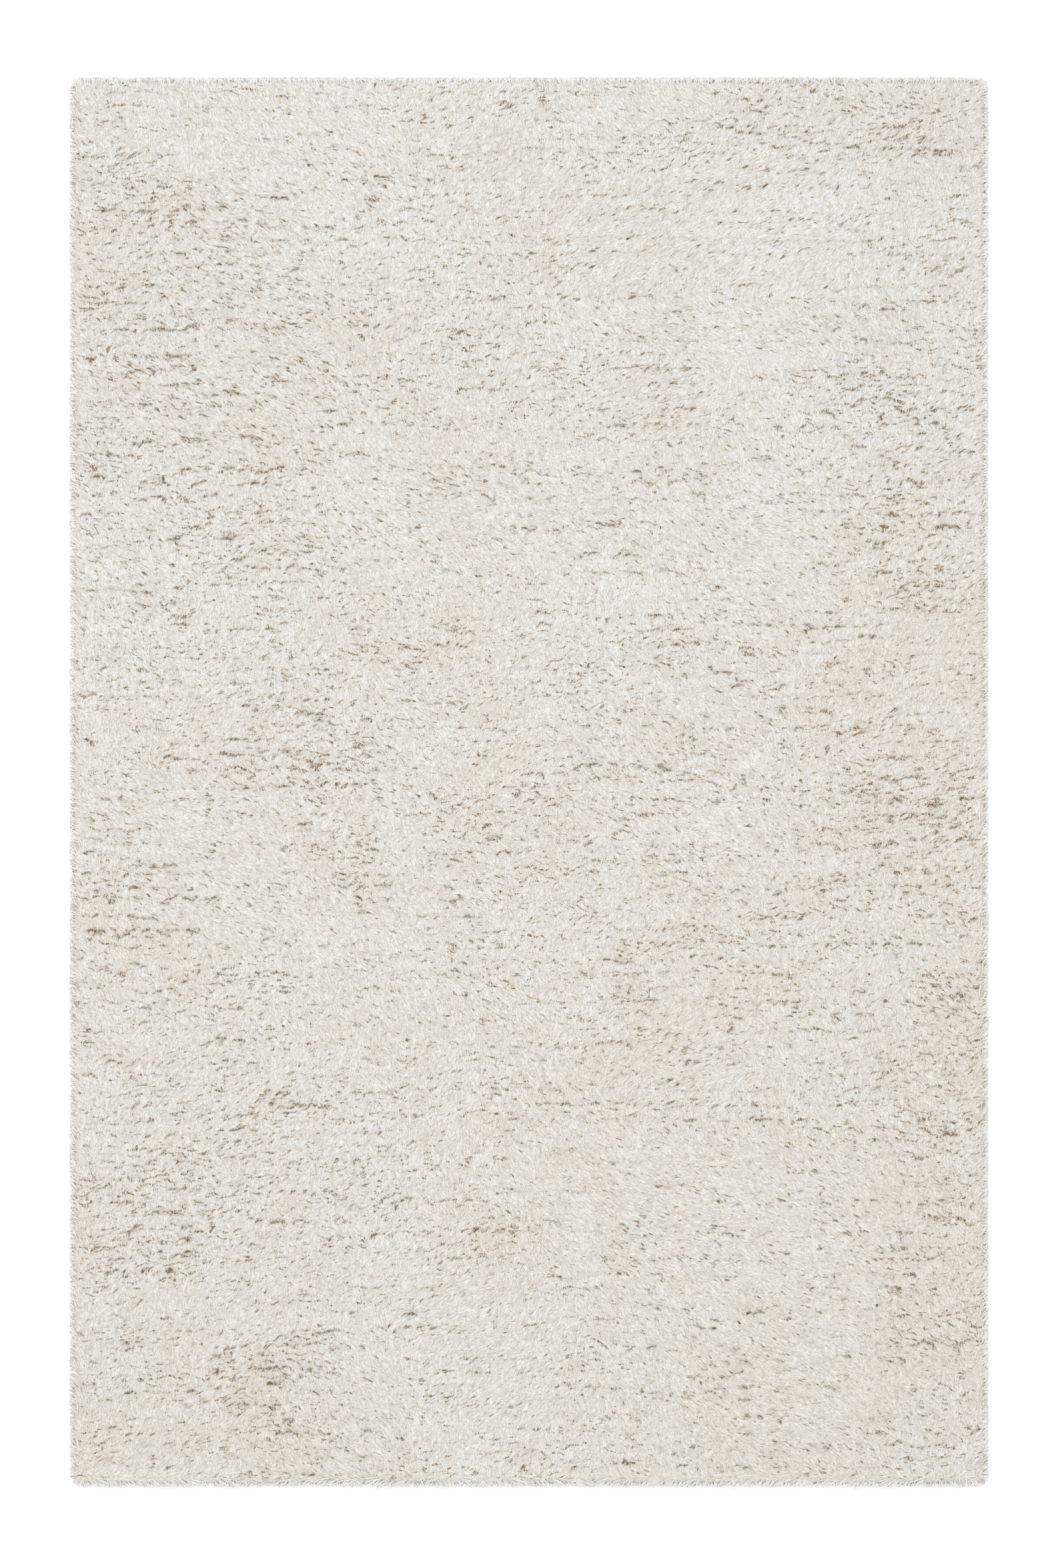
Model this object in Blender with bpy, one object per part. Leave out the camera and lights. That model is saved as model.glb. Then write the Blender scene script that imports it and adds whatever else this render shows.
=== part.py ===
"""A shag rug of 1.3 x 2 m: a flat ground cloth with a deep wool pile that stands past its edges.

Metres, +Z up. The rug lies flat on Z = 0 with the middle of its underside at the origin and
its long sides along Y.
"""
import math

import bmesh
import bpy

# The cloth that holds the tufts.
CLOTH_WIDTH = 1.300
CLOTH_LENGTH = 2.000
CLOTH_THICKNESS = 0.003

# The pile on it.
PILE_HEIGHT = 0.032
PILE_OVERHANG = 0.005
CORNER_RADIUS = 0.012
CORNER_SEGMENTS = 4

# How closely the crown is cut into facets, across and along.
STRIPS_ACROSS = 18
STRIPS_ALONG = 28

# The edge from the floor up: the height of each section above the cloth, as a part of the
# pile's height, and how far the section stands out past the cloth.
PILE_EDGE = (
    {"height": 0.08, "stands_out": 0.4 * PILE_OVERHANG},
    {"height": 0.30, "stands_out": PILE_OVERHANG},
    {"height": 0.60, "stands_out": 0.7 * PILE_OVERHANG},
    {"height": 0.82, "stands_out": -0.4 * PILE_OVERHANG},
    {"height": 0.92, "stands_out": -1.6 * PILE_OVERHANG},
    {"height": 0.95, "stands_out": -3.2 * PILE_OVERHANG},
)

# Where the pile stands open it is a little higher, and where it is combed flat a little lower.
SWELLS = (
    {"x": -0.50, "y": 0.48, "reach": 0.16, "rise": 0.0012},
    {"x": -0.34, "y": 0.30, "reach": 0.15, "rise": 0.0010},
    {"x": -0.32, "y": 0.04, "reach": 0.17, "rise": 0.0014},
    {"x": 0.54, "y": -0.02, "reach": 0.15, "rise": 0.0010},
    {"x": 0.30, "y": -0.22, "reach": 0.14, "rise": 0.0008},
    {"x": 0.54, "y": -0.68, "reach": 0.20, "rise": 0.0016},
    {"x": -0.04, "y": -0.60, "reach": 0.12, "rise": 0.0008},
    {"x": -0.38, "y": 0.88, "reach": 0.20, "rise": -0.0016},
    {"x": 0.32, "y": 0.74, "reach": 0.26, "rise": -0.0020},
    {"x": 0.36, "y": 0.32, "reach": 0.14, "rise": -0.0010},
    {"x": -0.06, "y": 0.28, "reach": 0.14, "rise": -0.0008},
    {"x": 0.16, "y": -0.48, "reach": 0.20, "rise": -0.0012},
    {"x": -0.44, "y": -0.78, "reach": 0.16, "rise": -0.0010},
)
# The swells fade out over this distance from the cloth's edge.
SWELL_FADE = 0.060
# Points this near the crown's own height belong to it.
LEVEL_TOLERANCE = 0.000001

WOOL_COLOUR = (0.73, 0.70, 0.65, 1.0)
WOOL_ROUGHNESS = 0.95


def clear_scene():
    for existing in list(bpy.data.objects):
        bpy.data.objects.remove(existing)


def wool_material():
    material = bpy.data.materials.new("cream wool pile")
    material.use_nodes = True
    shader = material.node_tree.nodes["Principled BSDF"]
    shader.inputs["Base Color"].default_value = WOOL_COLOUR
    shader.inputs["Roughness"].default_value = WOOL_ROUGHNESS
    shader.inputs["Metallic"].default_value = 0.0
    return material


def swell_at(x, y):
    """How much higher or lower than the plain crown the pile lies at this point."""
    return sum(
        swell["rise"] * math.exp(-(math.hypot(x - swell["x"], y - swell["y"]) / swell["reach"]) ** 2)
        for swell in SWELLS
    )


def rounded_plan(bm):
    """The cloth's underside as one face at Z = 0, with its corners rounded. Gives its edges."""
    bmesh.ops.create_grid(bm, x_segments=1, y_segments=1, size=0.5)
    bmesh.ops.scale(bm, vec=(CLOTH_WIDTH, CLOTH_LENGTH, 1), verts=bm.verts)
    bmesh.ops.bevel(
        bm, geom=bm.verts[:], offset=CORNER_RADIUS, offset_type="OFFSET",
        segments=CORNER_SEGMENTS, profile=0.5, affect="VERTICES", material=-1,
    )
    return bm.edges[:]


def raise_section(bm, outline, rise, stands_out):
    """Extrudes an outline up by rise, to where it stands out or in from the cloth's own edge."""
    raised = bmesh.ops.extrude_edge_only(bm, edges=outline)["geom"]
    verts = [item for item in raised if isinstance(item, bmesh.types.BMVert)]
    edges = [item for item in raised if isinstance(item, bmesh.types.BMEdge)]
    wider = (CLOTH_WIDTH / 2 + stands_out) / max(vert.co.x for vert in verts)
    longer = (CLOTH_LENGTH / 2 + stands_out) / max(vert.co.y for vert in verts)
    bmesh.ops.scale(bm, vec=(wider, longer, 1), verts=verts)
    bmesh.ops.translate(bm, vec=(0, 0, rise), verts=verts)
    return edges


def cut_strips(bm, size, strips, axis):
    """Cuts everything but the underside into equal strips across one axis."""
    normal = [0, 0, 0]
    normal[axis] = 1
    for strip in range(1, strips):
        point = [0, 0, 0]
        point[axis] = size * (strip / strips - 0.5)
        upper = [face for face in bm.faces if face.calc_center_median().z > 0]
        edges = {edge for face in upper for edge in face.edges}
        verts = {vert for face in upper for vert in face.verts}
        bmesh.ops.bisect_plane(
            bm, geom=upper + list(edges) + list(verts), plane_co=point, plane_no=normal,
        )


def shape_crown(bm, crown_height):
    """Lifts or lowers the crown by the swells, less and less towards its edge."""
    crown = [vert for vert in bm.verts if vert.co.z > crown_height - LEVEL_TOLERANCE]
    for vert in crown:
        to_side = CLOTH_WIDTH / 2 - abs(vert.co.x)
        to_end = CLOTH_LENGTH / 2 - abs(vert.co.y)
        fade = min(1.0, min(to_side, to_end) / SWELL_FADE)
        vert.co.z += fade * swell_at(vert.co.x, vert.co.y)


def build_rug():
    bm = bmesh.new()
    outline = raise_section(bm, rounded_plan(bm), CLOTH_THICKNESS, 0)
    height = CLOTH_THICKNESS
    for section in PILE_EDGE:
        next_height = CLOTH_THICKNESS + section["height"] * PILE_HEIGHT
        outline = raise_section(bm, outline, next_height - height, section["stands_out"])
        height = next_height
    bmesh.ops.contextual_create(bm, geom=outline)
    cut_strips(bm, CLOTH_WIDTH, STRIPS_ACROSS, 0)
    cut_strips(bm, CLOTH_LENGTH, STRIPS_ALONG, 1)
    shape_crown(bm, height)
    bmesh.ops.recalc_face_normals(bm, faces=bm.faces)

    mesh = bpy.data.meshes.new("rug")
    bm.to_mesh(mesh)
    bm.free()
    mesh.shade_smooth()
    rug = bpy.data.objects.new("rug", mesh)
    rug.data.materials.append(wool_material())
    bpy.context.scene.collection.objects.link(rug)
    return rug


clear_scene()
build_rug()
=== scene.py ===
# A cream shag rug seen from straight above: its woven cloth, and the deep wool pile on it.
# Metres, +Z up, the rug on Z = 0 with its long sides along Y. The pile is combed mostly towards +Y.
import math

import bmesh
import bpy
import numpy as np
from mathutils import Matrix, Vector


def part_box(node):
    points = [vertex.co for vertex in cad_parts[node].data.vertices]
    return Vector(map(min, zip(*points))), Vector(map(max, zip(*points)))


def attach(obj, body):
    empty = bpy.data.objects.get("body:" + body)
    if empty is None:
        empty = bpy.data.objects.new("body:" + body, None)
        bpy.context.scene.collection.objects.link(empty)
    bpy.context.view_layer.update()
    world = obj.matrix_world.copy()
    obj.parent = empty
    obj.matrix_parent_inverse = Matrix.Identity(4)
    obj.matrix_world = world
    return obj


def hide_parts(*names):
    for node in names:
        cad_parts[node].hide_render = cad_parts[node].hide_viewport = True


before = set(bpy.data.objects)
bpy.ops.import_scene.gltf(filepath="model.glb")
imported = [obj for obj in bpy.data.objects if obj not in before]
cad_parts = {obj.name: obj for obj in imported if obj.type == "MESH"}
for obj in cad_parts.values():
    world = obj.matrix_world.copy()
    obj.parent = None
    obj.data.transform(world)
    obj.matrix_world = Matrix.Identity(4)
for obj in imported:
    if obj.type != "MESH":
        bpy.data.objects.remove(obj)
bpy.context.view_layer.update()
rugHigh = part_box("rug")[1]
mm = 0.001

rug = {
    "overhang": 5 * mm,  # how far the pile stands out past the cloth
    "cornerRadius": 12 * mm,
    "clothThickness": 3 * mm,
    "clothCells": (26, 40),
    "crownBelowTop": 4.4 * mm,  # the usual height of the yarn ends, below the highest one
}
halfWidth = rugHigh.x - rug["overhang"]
halfLength = rugHigh.y - rug["overhang"]
crown = rugHigh.z - rug["crownBelowTop"]

# How the pile lies where nothing else is said. A heading is where the yarn ends point, in
# degrees from +X, and openness runs from 0, closed and smooth, to 1, open with deep gaps.
usualLie = {
    "heading": 92,
    "slowSway": 34,  # how far it turns this way and that, in swells of the size below
    "slowSwaySize": 0.13,
    "quickSway": 20,
    "quickSwaySize": 0.045,
    "patchSway": 0.45,  # how much of the sway the patches below take part in
    "jumble": 24,
    "openness": 0.5,
    "openSway": 0.25,
    "openSwaySize": 0.10,
    "mostOpen": 0.75,
    "weight": 0.22,  # how firmly it holds against the patches below
}

# Where a hand or foot has left the pile another way, from the top edge to the bottom one:
# x, y, reach along X, reach along Y, heading, jumble in degrees, openness.
combedPatches = (
    (-0.46, 0.95, 0.12, 0.06, 110, 12, 0.05),
    (-0.28, 0.92, 0.07, 0.07, 142, 14, 0.25),
    (-0.135, 0.90, 0.04, 0.08, 70, 14, 0.20),
    (-0.03, 0.88, 0.08, 0.07, 48, 14, 0.20),
    (0.13, 0.96, 0.07, 0.03, 150, 14, 0.20),
    (0.45, 0.93, 0.14, 0.03, 80, 14, 0.50),
    (0.11, 0.78, 0.06, 0.07, 8, 12, 0.15),
    (0.34, 0.78, 0.13, 0.09, 32, 12, 0.08),
    (0.50, 0.845, 0.08, 0.03, 88, 12, 0.15),
    (0.28, 0.645, 0.25, 0.04, 175, 14, 0.30),
    (0.55, 0.65, 0.08, 0.12, 88, 14, 0.60),
    (-0.56, 0.83, 0.06, 0.05, 95, 16, 0.70),
    (-0.40, 0.72, 0.11, 0.10, 165, 26, 0.75),
    (-0.25, 0.75, 0.04, 0.06, 90, 14, 0.30),
    (-0.56, 0.65, 0.07, 0.06, 95, 18, 0.75),
    (-0.46, 0.54, 0.11, 0.07, 168, 24, 1.00),
    (-0.28, 0.50, 0.06, 0.11, 122, 14, 0.50),
    (-0.08, 0.64, 0.12, 0.14, 92, 22, 0.50),
    (0.16, 0.56, 0.07, 0.06, 10, 40, 0.60),
    (-0.50, 0.44, 0.12, 0.05, 100, 16, 0.75),
    (-0.56, 0.30, 0.08, 0.10, 120, 26, 0.60),
    (-0.38, 0.33, 0.07, 0.07, 100, 32, 0.85),
    (-0.38, 0.20, 0.09, 0.06, 85, 16, 0.35),
    (-0.53, 0.15, 0.10, 0.12, 125, 26, 0.50),
    (-0.46, 0.08, 0.05, 0.05, 50, 16, 0.30),
    (-0.32, 0.05, 0.10, 0.07, 95, 24, 1.00),
    (-0.12, 0.34, 0.09, 0.09, 140, 13, 0.20),
    (-0.15, 0.42, 0.10, 0.04, 160, 20, 0.40),
    (0.115, 0.26, 0.08, 0.05, 92, 12, 0.12),
    (-0.10, 0.22, 0.12, 0.08, 110, 40, 0.50),
    (0.10, 0.42, 0.10, 0.10, 150, 40, 0.55),
    (0.33, 0.36, 0.12, 0.09, 158, 14, 0.20),
    (0.29, 0.10, 0.07, 0.08, 150, 16, 0.45),
    (0.52, 0.36, 0.09, 0.10, 60, 26, 0.75),
    (0.40, 0.12, 0.05, 0.06, 90, 14, 0.30),
    (0.53, 0.15, 0.09, 0.07, 80, 28, 0.50),
    (0.54, -0.03, 0.10, 0.07, 85, 20, 0.90),
    (0.17, 0.04, 0.07, 0.05, 120, 20, 0.60),
    (0.02, 0.12, 0.12, 0.08, 80, 40, 0.45),
    (-0.465, -0.07, 0.09, 0.06, 157, 12, 0.12),
    (-0.50, -0.025, 0.09, 0.02, 178, 12, 0.35),
    (-0.35, -0.19, 0.12, 0.05, 160, 16, 0.30),
    (-0.58, -0.20, 0.07, 0.09, 95, 18, 0.70),
    (-0.25, -0.13, 0.06, 0.05, 100, 30, 0.85),
    (-0.55, -0.30, 0.10, 0.08, 100, 22, 0.60),
    (-0.28, -0.30, 0.10, 0.08, 110, 24, 0.30),
    (-0.08, -0.12, 0.12, 0.10, 100, 42, 0.55),
    (0.10, -0.20, 0.10, 0.08, 75, 34, 0.40),
    (-0.05, -0.31, 0.06, 0.05, 130, 18, 0.40),
    (-0.09, -0.45, 0.09, 0.07, 50, 16, 0.25),
    (0.02, -0.47, 0.07, 0.05, 130, 22, 0.30),
    (0.30, -0.07, 0.10, 0.05, 170, 22, 0.35),
    (0.25, -0.24, 0.10, 0.10, 110, 40, 0.60),
    (0.42, -0.22, 0.08, 0.10, 95, 30, 0.50),
    (0.515, -0.29, 0.03, 0.10, 100, 10, 0.10),
    (0.60, -0.30, 0.05, 0.12, 120, 30, 0.80),
    (0.40, -0.44, 0.10, 0.06, 100, 24, 0.30),
    (0.20, -0.40, 0.10, 0.07, 20, 34, 0.50),
    (-0.45, -0.42, 0.14, 0.08, 85, 24, 0.55),
    (-0.52, -0.62, 0.10, 0.09, 92, 16, 0.95),
    (-0.28, -0.62, 0.11, 0.11, 80, 38, 0.50),
    (-0.42, -0.74, 0.10, 0.05, 70, 20, 0.12),
    (-0.58, -0.79, 0.08, 0.06, 60, 24, 0.60),
    (-0.36, -0.88, 0.08, 0.06, 95, 20, 0.80),
    (-0.52, -0.91, 0.09, 0.06, 85, 16, 0.20),
    (-0.60, -0.97, 0.06, 0.03, 40, 20, 0.50),
    (-0.13, -0.72, 0.10, 0.06, 12, 16, 0.45),
    (-0.05, -0.65, 0.05, 0.05, 100, 34, 0.95),
    (-0.21, -0.87, 0.05, 0.09, 135, 16, 0.30),
    (-0.04, -0.82, 0.07, 0.12, 48, 16, 0.20),
    (0.12, -0.58, 0.11, 0.08, 165, 8, 0.15),
    (0.33, -0.58, 0.17, 0.08, 168, 7, 0.22),
    (0.14, -0.73, 0.07, 0.07, 142, 16, 0.50),
    (0.36, -0.73, 0.16, 0.08, 152, 8, 0.35),
    (0.36, -0.87, 0.17, 0.10, 162, 8, 0.30),
    (0.17, -0.90, 0.07, 0.08, 135, 14, 0.20),
    (0.57, -0.55, 0.08, 0.07, 100, 26, 0.85),
    (0.58, -0.74, 0.08, 0.12, 110, 38, 1.00),
    (0.58, -0.93, 0.07, 0.06, 95, 24, 0.35),
)

# The longer rows where the pile stands apart and painted brown shade shows at its roots:
# x and y where the row starts, x and y where it ends, and how wide it opens in millimetres.
openRows = (
    (0.27, 0.935, 0.35, 0.920, 3.0),
    (0.35, 0.920, 0.50, 0.900, 3.0),
    (0.50, 0.900, 0.60, 0.902, 3.0),
    (0.46, 0.680, 0.54, 0.670, 3.5),
    (0.47, 0.585, 0.55, 0.575, 3.5),
    (0.52, 0.530, 0.60, 0.505, 3.5),
    (0.45, 0.760, 0.55, 0.750, 2.5),
    (0.46, 0.635, 0.56, 0.622, 3.0),
    (-0.62, 0.850, -0.52, 0.848, 3.0),
    (-0.61, 0.815, -0.52, 0.812, 3.0),
    (-0.62, 0.680, -0.54, 0.682, 3.5),
    (-0.61, 0.640, -0.50, 0.645, 3.0),
    (-0.57, 0.485, -0.53, 0.485, 3.0),
    (-0.51, 0.480, -0.455, 0.490, 3.5),
    (-0.42, 0.485, -0.385, 0.495, 3.0),
    (-0.61, 0.470, -0.59, 0.470, 3.5),
    (-0.555, 0.425, -0.50, 0.440, 3.0),
    (-0.50, 0.440, -0.455, 0.447, 4.0),
    (-0.44, 0.447, -0.38, 0.442, 3.0),
    (-0.62, 0.438, -0.60, 0.433, 3.5),
    (-0.555, 0.405, -0.48, 0.400, 4.0),
    (-0.48, 0.398, -0.44, 0.410, 3.0),
    (-0.52, 0.343, -0.485, 0.353, 4.0),
    (-0.555, 0.365, -0.542, 0.362, 4.0),
    (-0.42, 0.318, -0.40, 0.317, 3.5),
    (-0.53, 0.265, -0.50, 0.255, 3.5),
    (-0.42, 0.217, -0.365, 0.217, 2.5),
    (-0.41, 0.105, -0.38, 0.102, 4.0),
    (-0.345, 0.105, -0.315, 0.100, 4.0),
    (-0.305, 0.088, -0.28, 0.085, 4.5),
    (-0.26, 0.095, -0.225, 0.090, 3.5),
    (-0.44, 0.045, -0.415, 0.033, 3.5),
    (-0.405, 0.047, -0.35, 0.047, 3.0),
    (-0.35, 0.045, -0.32, 0.040, 3.5),
    (-0.32, 0.025, -0.25, 0.018, 4.0),
    (-0.33, -0.005, -0.30, -0.010, 3.5),
    (-0.41, -0.010, -0.38, -0.012, 3.5),
    (-0.41, -0.045, -0.39, -0.053, 3.5),
    (-0.365, -0.050, -0.355, -0.052, 4.0),
    (-0.33, -0.060, -0.305, -0.062, 3.5),
    (-0.57, -0.120, -0.50, -0.122, 3.5),
    (-0.65, -0.130, -0.61, -0.130, 3.0),
    (-0.62, -0.155, -0.597, -0.165, 4.0),
    (-0.52, -0.165, -0.44, -0.165, 2.5),
    (-0.62, -0.215, -0.53, -0.225, 3.5),
    (-0.63, -0.255, -0.60, -0.262, 3.0),
    (-0.58, -0.260, -0.53, -0.266, 4.0),
    (-0.45, -0.235, -0.41, -0.226, 3.5),
    (-0.38, -0.225, -0.34, -0.215, 2.5),
    (-0.50, -0.285, -0.485, -0.286, 4.0),
    (-0.545, -0.323, -0.537, -0.326, 5.0),
    (-0.47, -0.382, -0.43, -0.368, 3.0),
    (-0.44, -0.398, -0.41, -0.396, 4.0),
    (-0.375, -0.460, -0.33, -0.456, 3.5),
    (-0.555, -0.433, -0.52, -0.440, 3.0),
    (-0.55, -0.615, -0.50, -0.615, 3.5),
    (-0.57, -0.645, -0.555, -0.630, 4.0),
    (-0.52, -0.650, -0.47, -0.656, 4.0),
    (-0.545, -0.670, -0.465, -0.675, 3.0),
    (-0.50, -0.632, -0.445, -0.635, 3.5),
    (-0.60, -0.580, -0.55, -0.580, 3.0),
    (-0.51, -0.582, -0.45, -0.582, 3.5),
    (-0.51, -0.542, -0.47, -0.545, 3.5),
    (-0.44, -0.540, -0.36, -0.530, 3.0),
    (-0.52, -0.697, -0.505, -0.698, 5.0),
    (-0.58, -0.800, -0.55, -0.801, 3.5),
    (-0.63, -0.830, -0.61, -0.830, 3.5),
    (-0.55, -0.832, -0.51, -0.826, 3.5),
    (-0.48, -0.820, -0.44, -0.820, 3.0),
    (-0.40, -0.837, -0.34, -0.836, 4.0),
    (-0.33, -0.840, -0.305, -0.841, 3.5),
    (-0.385, -0.855, -0.352, -0.857, 4.5),
    (-0.41, -0.888, -0.37, -0.893, 4.0),
    (-0.37, -0.893, -0.345, -0.905, 4.0),
    (-0.342, -0.800, -0.33, -0.815, 4.0),
    (-0.58, -0.870, -0.565, -0.871, 4.0),
    (-0.21, -0.597, -0.165, -0.582, 3.0),
    (-0.07, -0.640, -0.03, -0.636, 3.5),
    (-0.06, -0.707, -0.03, -0.690, 3.5),
    (0.46, 0.475, 0.48, 0.480, 3.5),
    (0.50, 0.466, 0.52, 0.460, 4.0),
    (0.42, 0.430, 0.45, 0.432, 3.0),
    (0.54, 0.435, 0.555, 0.420, 4.0),
    (0.51, 0.405, 0.545, 0.398, 3.5),
    (0.43, 0.387, 0.48, 0.380, 3.0),
    (0.51, 0.381, 0.53, 0.381, 3.5),
    (0.575, 0.361, 0.61, 0.361, 4.0),
    (0.49, 0.335, 0.525, 0.341, 3.0),
    (0.40, 0.310, 0.46, 0.315, 2.5),
    (0.52, 0.270, 0.55, 0.275, 3.5),
    (0.39, 0.215, 0.42, 0.218, 3.0),
    (0.47, 0.210, 0.52, 0.205, 3.0),
    (0.41, 0.170, 0.50, 0.170, 3.0),
    (0.30, 0.195, 0.325, 0.184, 4.0),
    (0.255, 0.167, 0.275, 0.155, 4.0),
    (0.275, 0.155, 0.315, 0.138, 3.5),
    (0.34, 0.101, 0.385, 0.103, 3.5),
    (0.40, 0.095, 0.437, 0.101, 3.5),
    (0.54, 0.075, 0.575, 0.090, 3.5),
    (0.215, 0.070, 0.24, 0.058, 3.5),
    (0.50, 0.040, 0.54, 0.031, 3.0),
    (0.50, 0.005, 0.555, 0.003, 4.0),
    (0.16, 0.077, 0.18, 0.078, 4.0),
    (0.14, 0.025, 0.205, 0.018, 4.0),
    (0.44, -0.015, 0.52, -0.020, 3.0),
    (0.565, -0.030, 0.595, -0.031, 4.5),
    (0.51, -0.055, 0.60, -0.050, 3.0),
    (0.49, -0.095, 0.52, -0.090, 3.5),
    (0.50, -0.118, 0.545, -0.126, 3.5),
    (0.56, -0.133, 0.575, -0.134, 4.5),
    (0.43, -0.142, 0.46, -0.138, 3.5),
    (0.53, -0.158, 0.547, -0.160, 4.0),
    (0.333, -0.157, 0.362, -0.159, 4.0),
    (0.61, -0.222, 0.632, -0.222, 3.5),
    (0.34, -0.236, 0.355, -0.237, 4.0),
    (0.46, -0.299, 0.482, -0.301, 3.5),
    (0.43, -0.335, 0.455, -0.335, 3.5),
    (0.59, -0.500, 0.61, -0.503, 4.0),
    (0.54, -0.538, 0.60, -0.537, 3.5),
    (0.115, -0.545, 0.12, -0.550, 3.5),
    (0.305, -0.535, 0.32, -0.543, 3.5),
    (0.265, -0.593, 0.28, -0.600, 4.0),
    (0.405, -0.665, 0.42, -0.666, 4.5),
    (0.362, -0.672, 0.374, -0.678, 4.0),
    (0.25, -0.663, 0.26, -0.667, 4.5),
    (0.41, -0.606, 0.425, -0.608, 3.0),
    (0.43, -0.700, 0.447, -0.727, 2.5),
    (0.31, -0.755, 0.335, -0.757, 4.0),
    (0.235, -0.775, 0.27, -0.785, 4.0),
    (0.23, -0.803, 0.237, -0.810, 5.0),
    (0.298, -0.865, 0.315, -0.868, 5.0),
    (0.495, -0.898, 0.507, -0.908, 3.0),
    (0.52, -0.942, 0.565, -0.950, 3.0),
    (0.228, -0.948, 0.24, -0.951, 4.0),
    (0.418, -0.948, 0.43, -0.955, 4.0),
    (0.57, -0.843, 0.585, -0.844, 4.5),
    (0.51, -0.722, 0.535, -0.724, 4.0),
)


def addObject(name, mesh, material, smooth=True):
    piece = bpy.data.objects.new(name, mesh)
    piece.data.materials.append(material)
    bpy.context.scene.collection.objects.link(piece)
    if smooth:
        mesh.shade_smooth()
    return piece


noiseReach = 1.2  # the chance values cover the rug out to this far from its middle


def softNoise(x, y, size, seed):
    # Smooth chance values from -1 to 1 whose swells are about this size.
    rng = np.random.default_rng(seed)
    across = int(2 * noiseReach / size) + 3
    values = rng.uniform(-1, 1, (across, across))
    u = (x + noiseReach) / size
    v = (y + noiseReach) / size
    i = np.clip(u.astype(int), 0, across - 2)
    j = np.clip(v.astype(int), 0, across - 2)
    fu = np.clip(u - i, 0, 1)
    fv = np.clip(v - j, 0, 1)
    fu = fu * fu * (3 - 2 * fu)
    fv = fv * fv * (3 - 2 * fv)
    low = values[j, i] * (1 - fu) + values[j, i + 1] * fu
    high = values[j + 1, i] * (1 - fu) + values[j + 1, i + 1] * fu
    return low * (1 - fv) + high * fv


def lieAt(x, y):
    # Heading in radians, jumble in radians and openness at these points.
    lie = usualLie
    sway = lie["slowSway"] * softNoise(x, y, lie["slowSwaySize"], 11)
    sway = sway + lie["quickSway"] * softNoise(x, y, lie["quickSwaySize"], 12)
    angle = np.radians(lie["heading"] + sway)
    total = np.full_like(x, lie["weight"])
    toX = total * np.cos(angle)
    toY = total * np.sin(angle)
    jumble = total * lie["jumble"]
    openness = total * (lie["openness"] + lie["openSway"] * softNoise(x, y, lie["openSwaySize"], 13))
    wander = np.radians(lie["patchSway"] * sway)
    for px, py, reachX, reachY, heading, spread, opened in combedPatches:
        weight = np.exp(-(((x - px) / reachX) ** 2) - ((y - py) / reachY) ** 2)
        patchAngle = math.radians(heading) + wander
        toX += weight * np.cos(patchAngle)
        toY += weight * np.sin(patchAngle)
        jumble += weight * spread
        openness += weight * opened
        total += weight
    toX /= total
    toY /= total
    toX, toY = turnOutAtEdges(x, y, toX, toY)
    openness = np.clip(openness / total, 0, lie["mostOpen"])
    return np.arctan2(toY, toX), np.radians(jumble / total), openness


# The small swirls that single locks make in the lie of the pile.
swirls = {
    "wide": 15 * mm,
    "close": 7 * mm,
    "closeShare": 0.8,
    "strength": 1.4,  # how far jumbled pile turns from its lie
}

# The small folds of the packed pile.
folds = {
    "rows": 0.65,  # how much more and less they open in rows
    "rowSize": 14 * mm,
    "rowStretch": 0.22,  # the rows run across the rug
    "widest": 1.6,  # openness where they open widest
    "follow": math.radians(62),  # they lean with yarns that lie flatter than this
}

tints = {
    "wide": 0.14,  # the size of its wide and its close patches, and how much each one counts
    "wideShare": 0.32,
    "close": 0.03,
    "closeShare": 0.4,
    "closedPile": 0.4,  # closed pile is paler
    "evenAt": 0.45,  # the openness that makes it neither paler nor more yellow
    "towardsTop": 0.2,  # paler at the top edge than in the middle
    "towardsRight": -0.1,
}


def flowAt(x, y):
    # Heading with the small swirls of the locks in it, jumble and openness.
    heading, jumble, openness = lieAt(x, y)
    swirl = softNoise(x, y, swirls["wide"], 91)
    swirl = swirl + swirls["closeShare"] * softNoise(x, y, swirls["close"], 92)
    return heading + swirls["strength"] * jumble * swirl, jumble, openness


def foldAngle(heading):
    # The way the small folds and gaps run: along yarns that lie nearly level, and level where
    # the yarns point up or down.
    slope = 0.5 * np.arctan2(np.sin(2 * heading), np.cos(2 * heading))
    return slope * np.exp(-((slope / folds["follow"]) ** 2))


def tintAt(x, y, openness):
    # From 0, the more yellow wool, to 1, the palest.
    wide = softNoise(x, y, tints["wide"], 95)
    close = softNoise(x, y, tints["close"], 96)
    tint = 0.5 + tints["wideShare"] * wide + tints["closeShare"] * close
    tint = tint + tints["closedPile"] * (tints["evenAt"] - openness)
    tint = tint + tints["towardsTop"] * y / halfLength + tints["towardsRight"] * x / halfWidth
    return np.clip(tint, 0.03, 0.97)


def edgeNearness(x, y, depth):
    # 0 in the field, rising to 1 on the cloth's edge, for the sides and for the ends.
    side = np.clip((np.abs(x) - halfWidth + depth) / depth, 0, 1)
    end = np.clip((np.abs(y) - halfLength + depth) / depth, 0, 1)
    return side, end


# Near the cloth's edge the pile leans out over it.
turnOut = {
    "depth": 0.028,  # how far in from the edge the pile starts to lean out over it
    "bottomDepth": 0.014,
    "sides": 1.1,  # how firmly it leans out there
    "top": 0.8,
    "bottom": 2.2,
}


def turnOutAtEdges(x, y, toX, toY):
    side, top = edgeNearness(x, y, turnOut["depth"])
    bottom = edgeNearness(x, y, turnOut["bottomDepth"])[1]
    toX = toX + np.sign(x) * turnOut["sides"] * side
    firmness = np.where(y < 0, turnOut["bottom"], turnOut["top"])
    toY = toY + np.sign(y) * firmness * np.where(y < 0, bottom, top)
    return toX, toY


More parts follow.
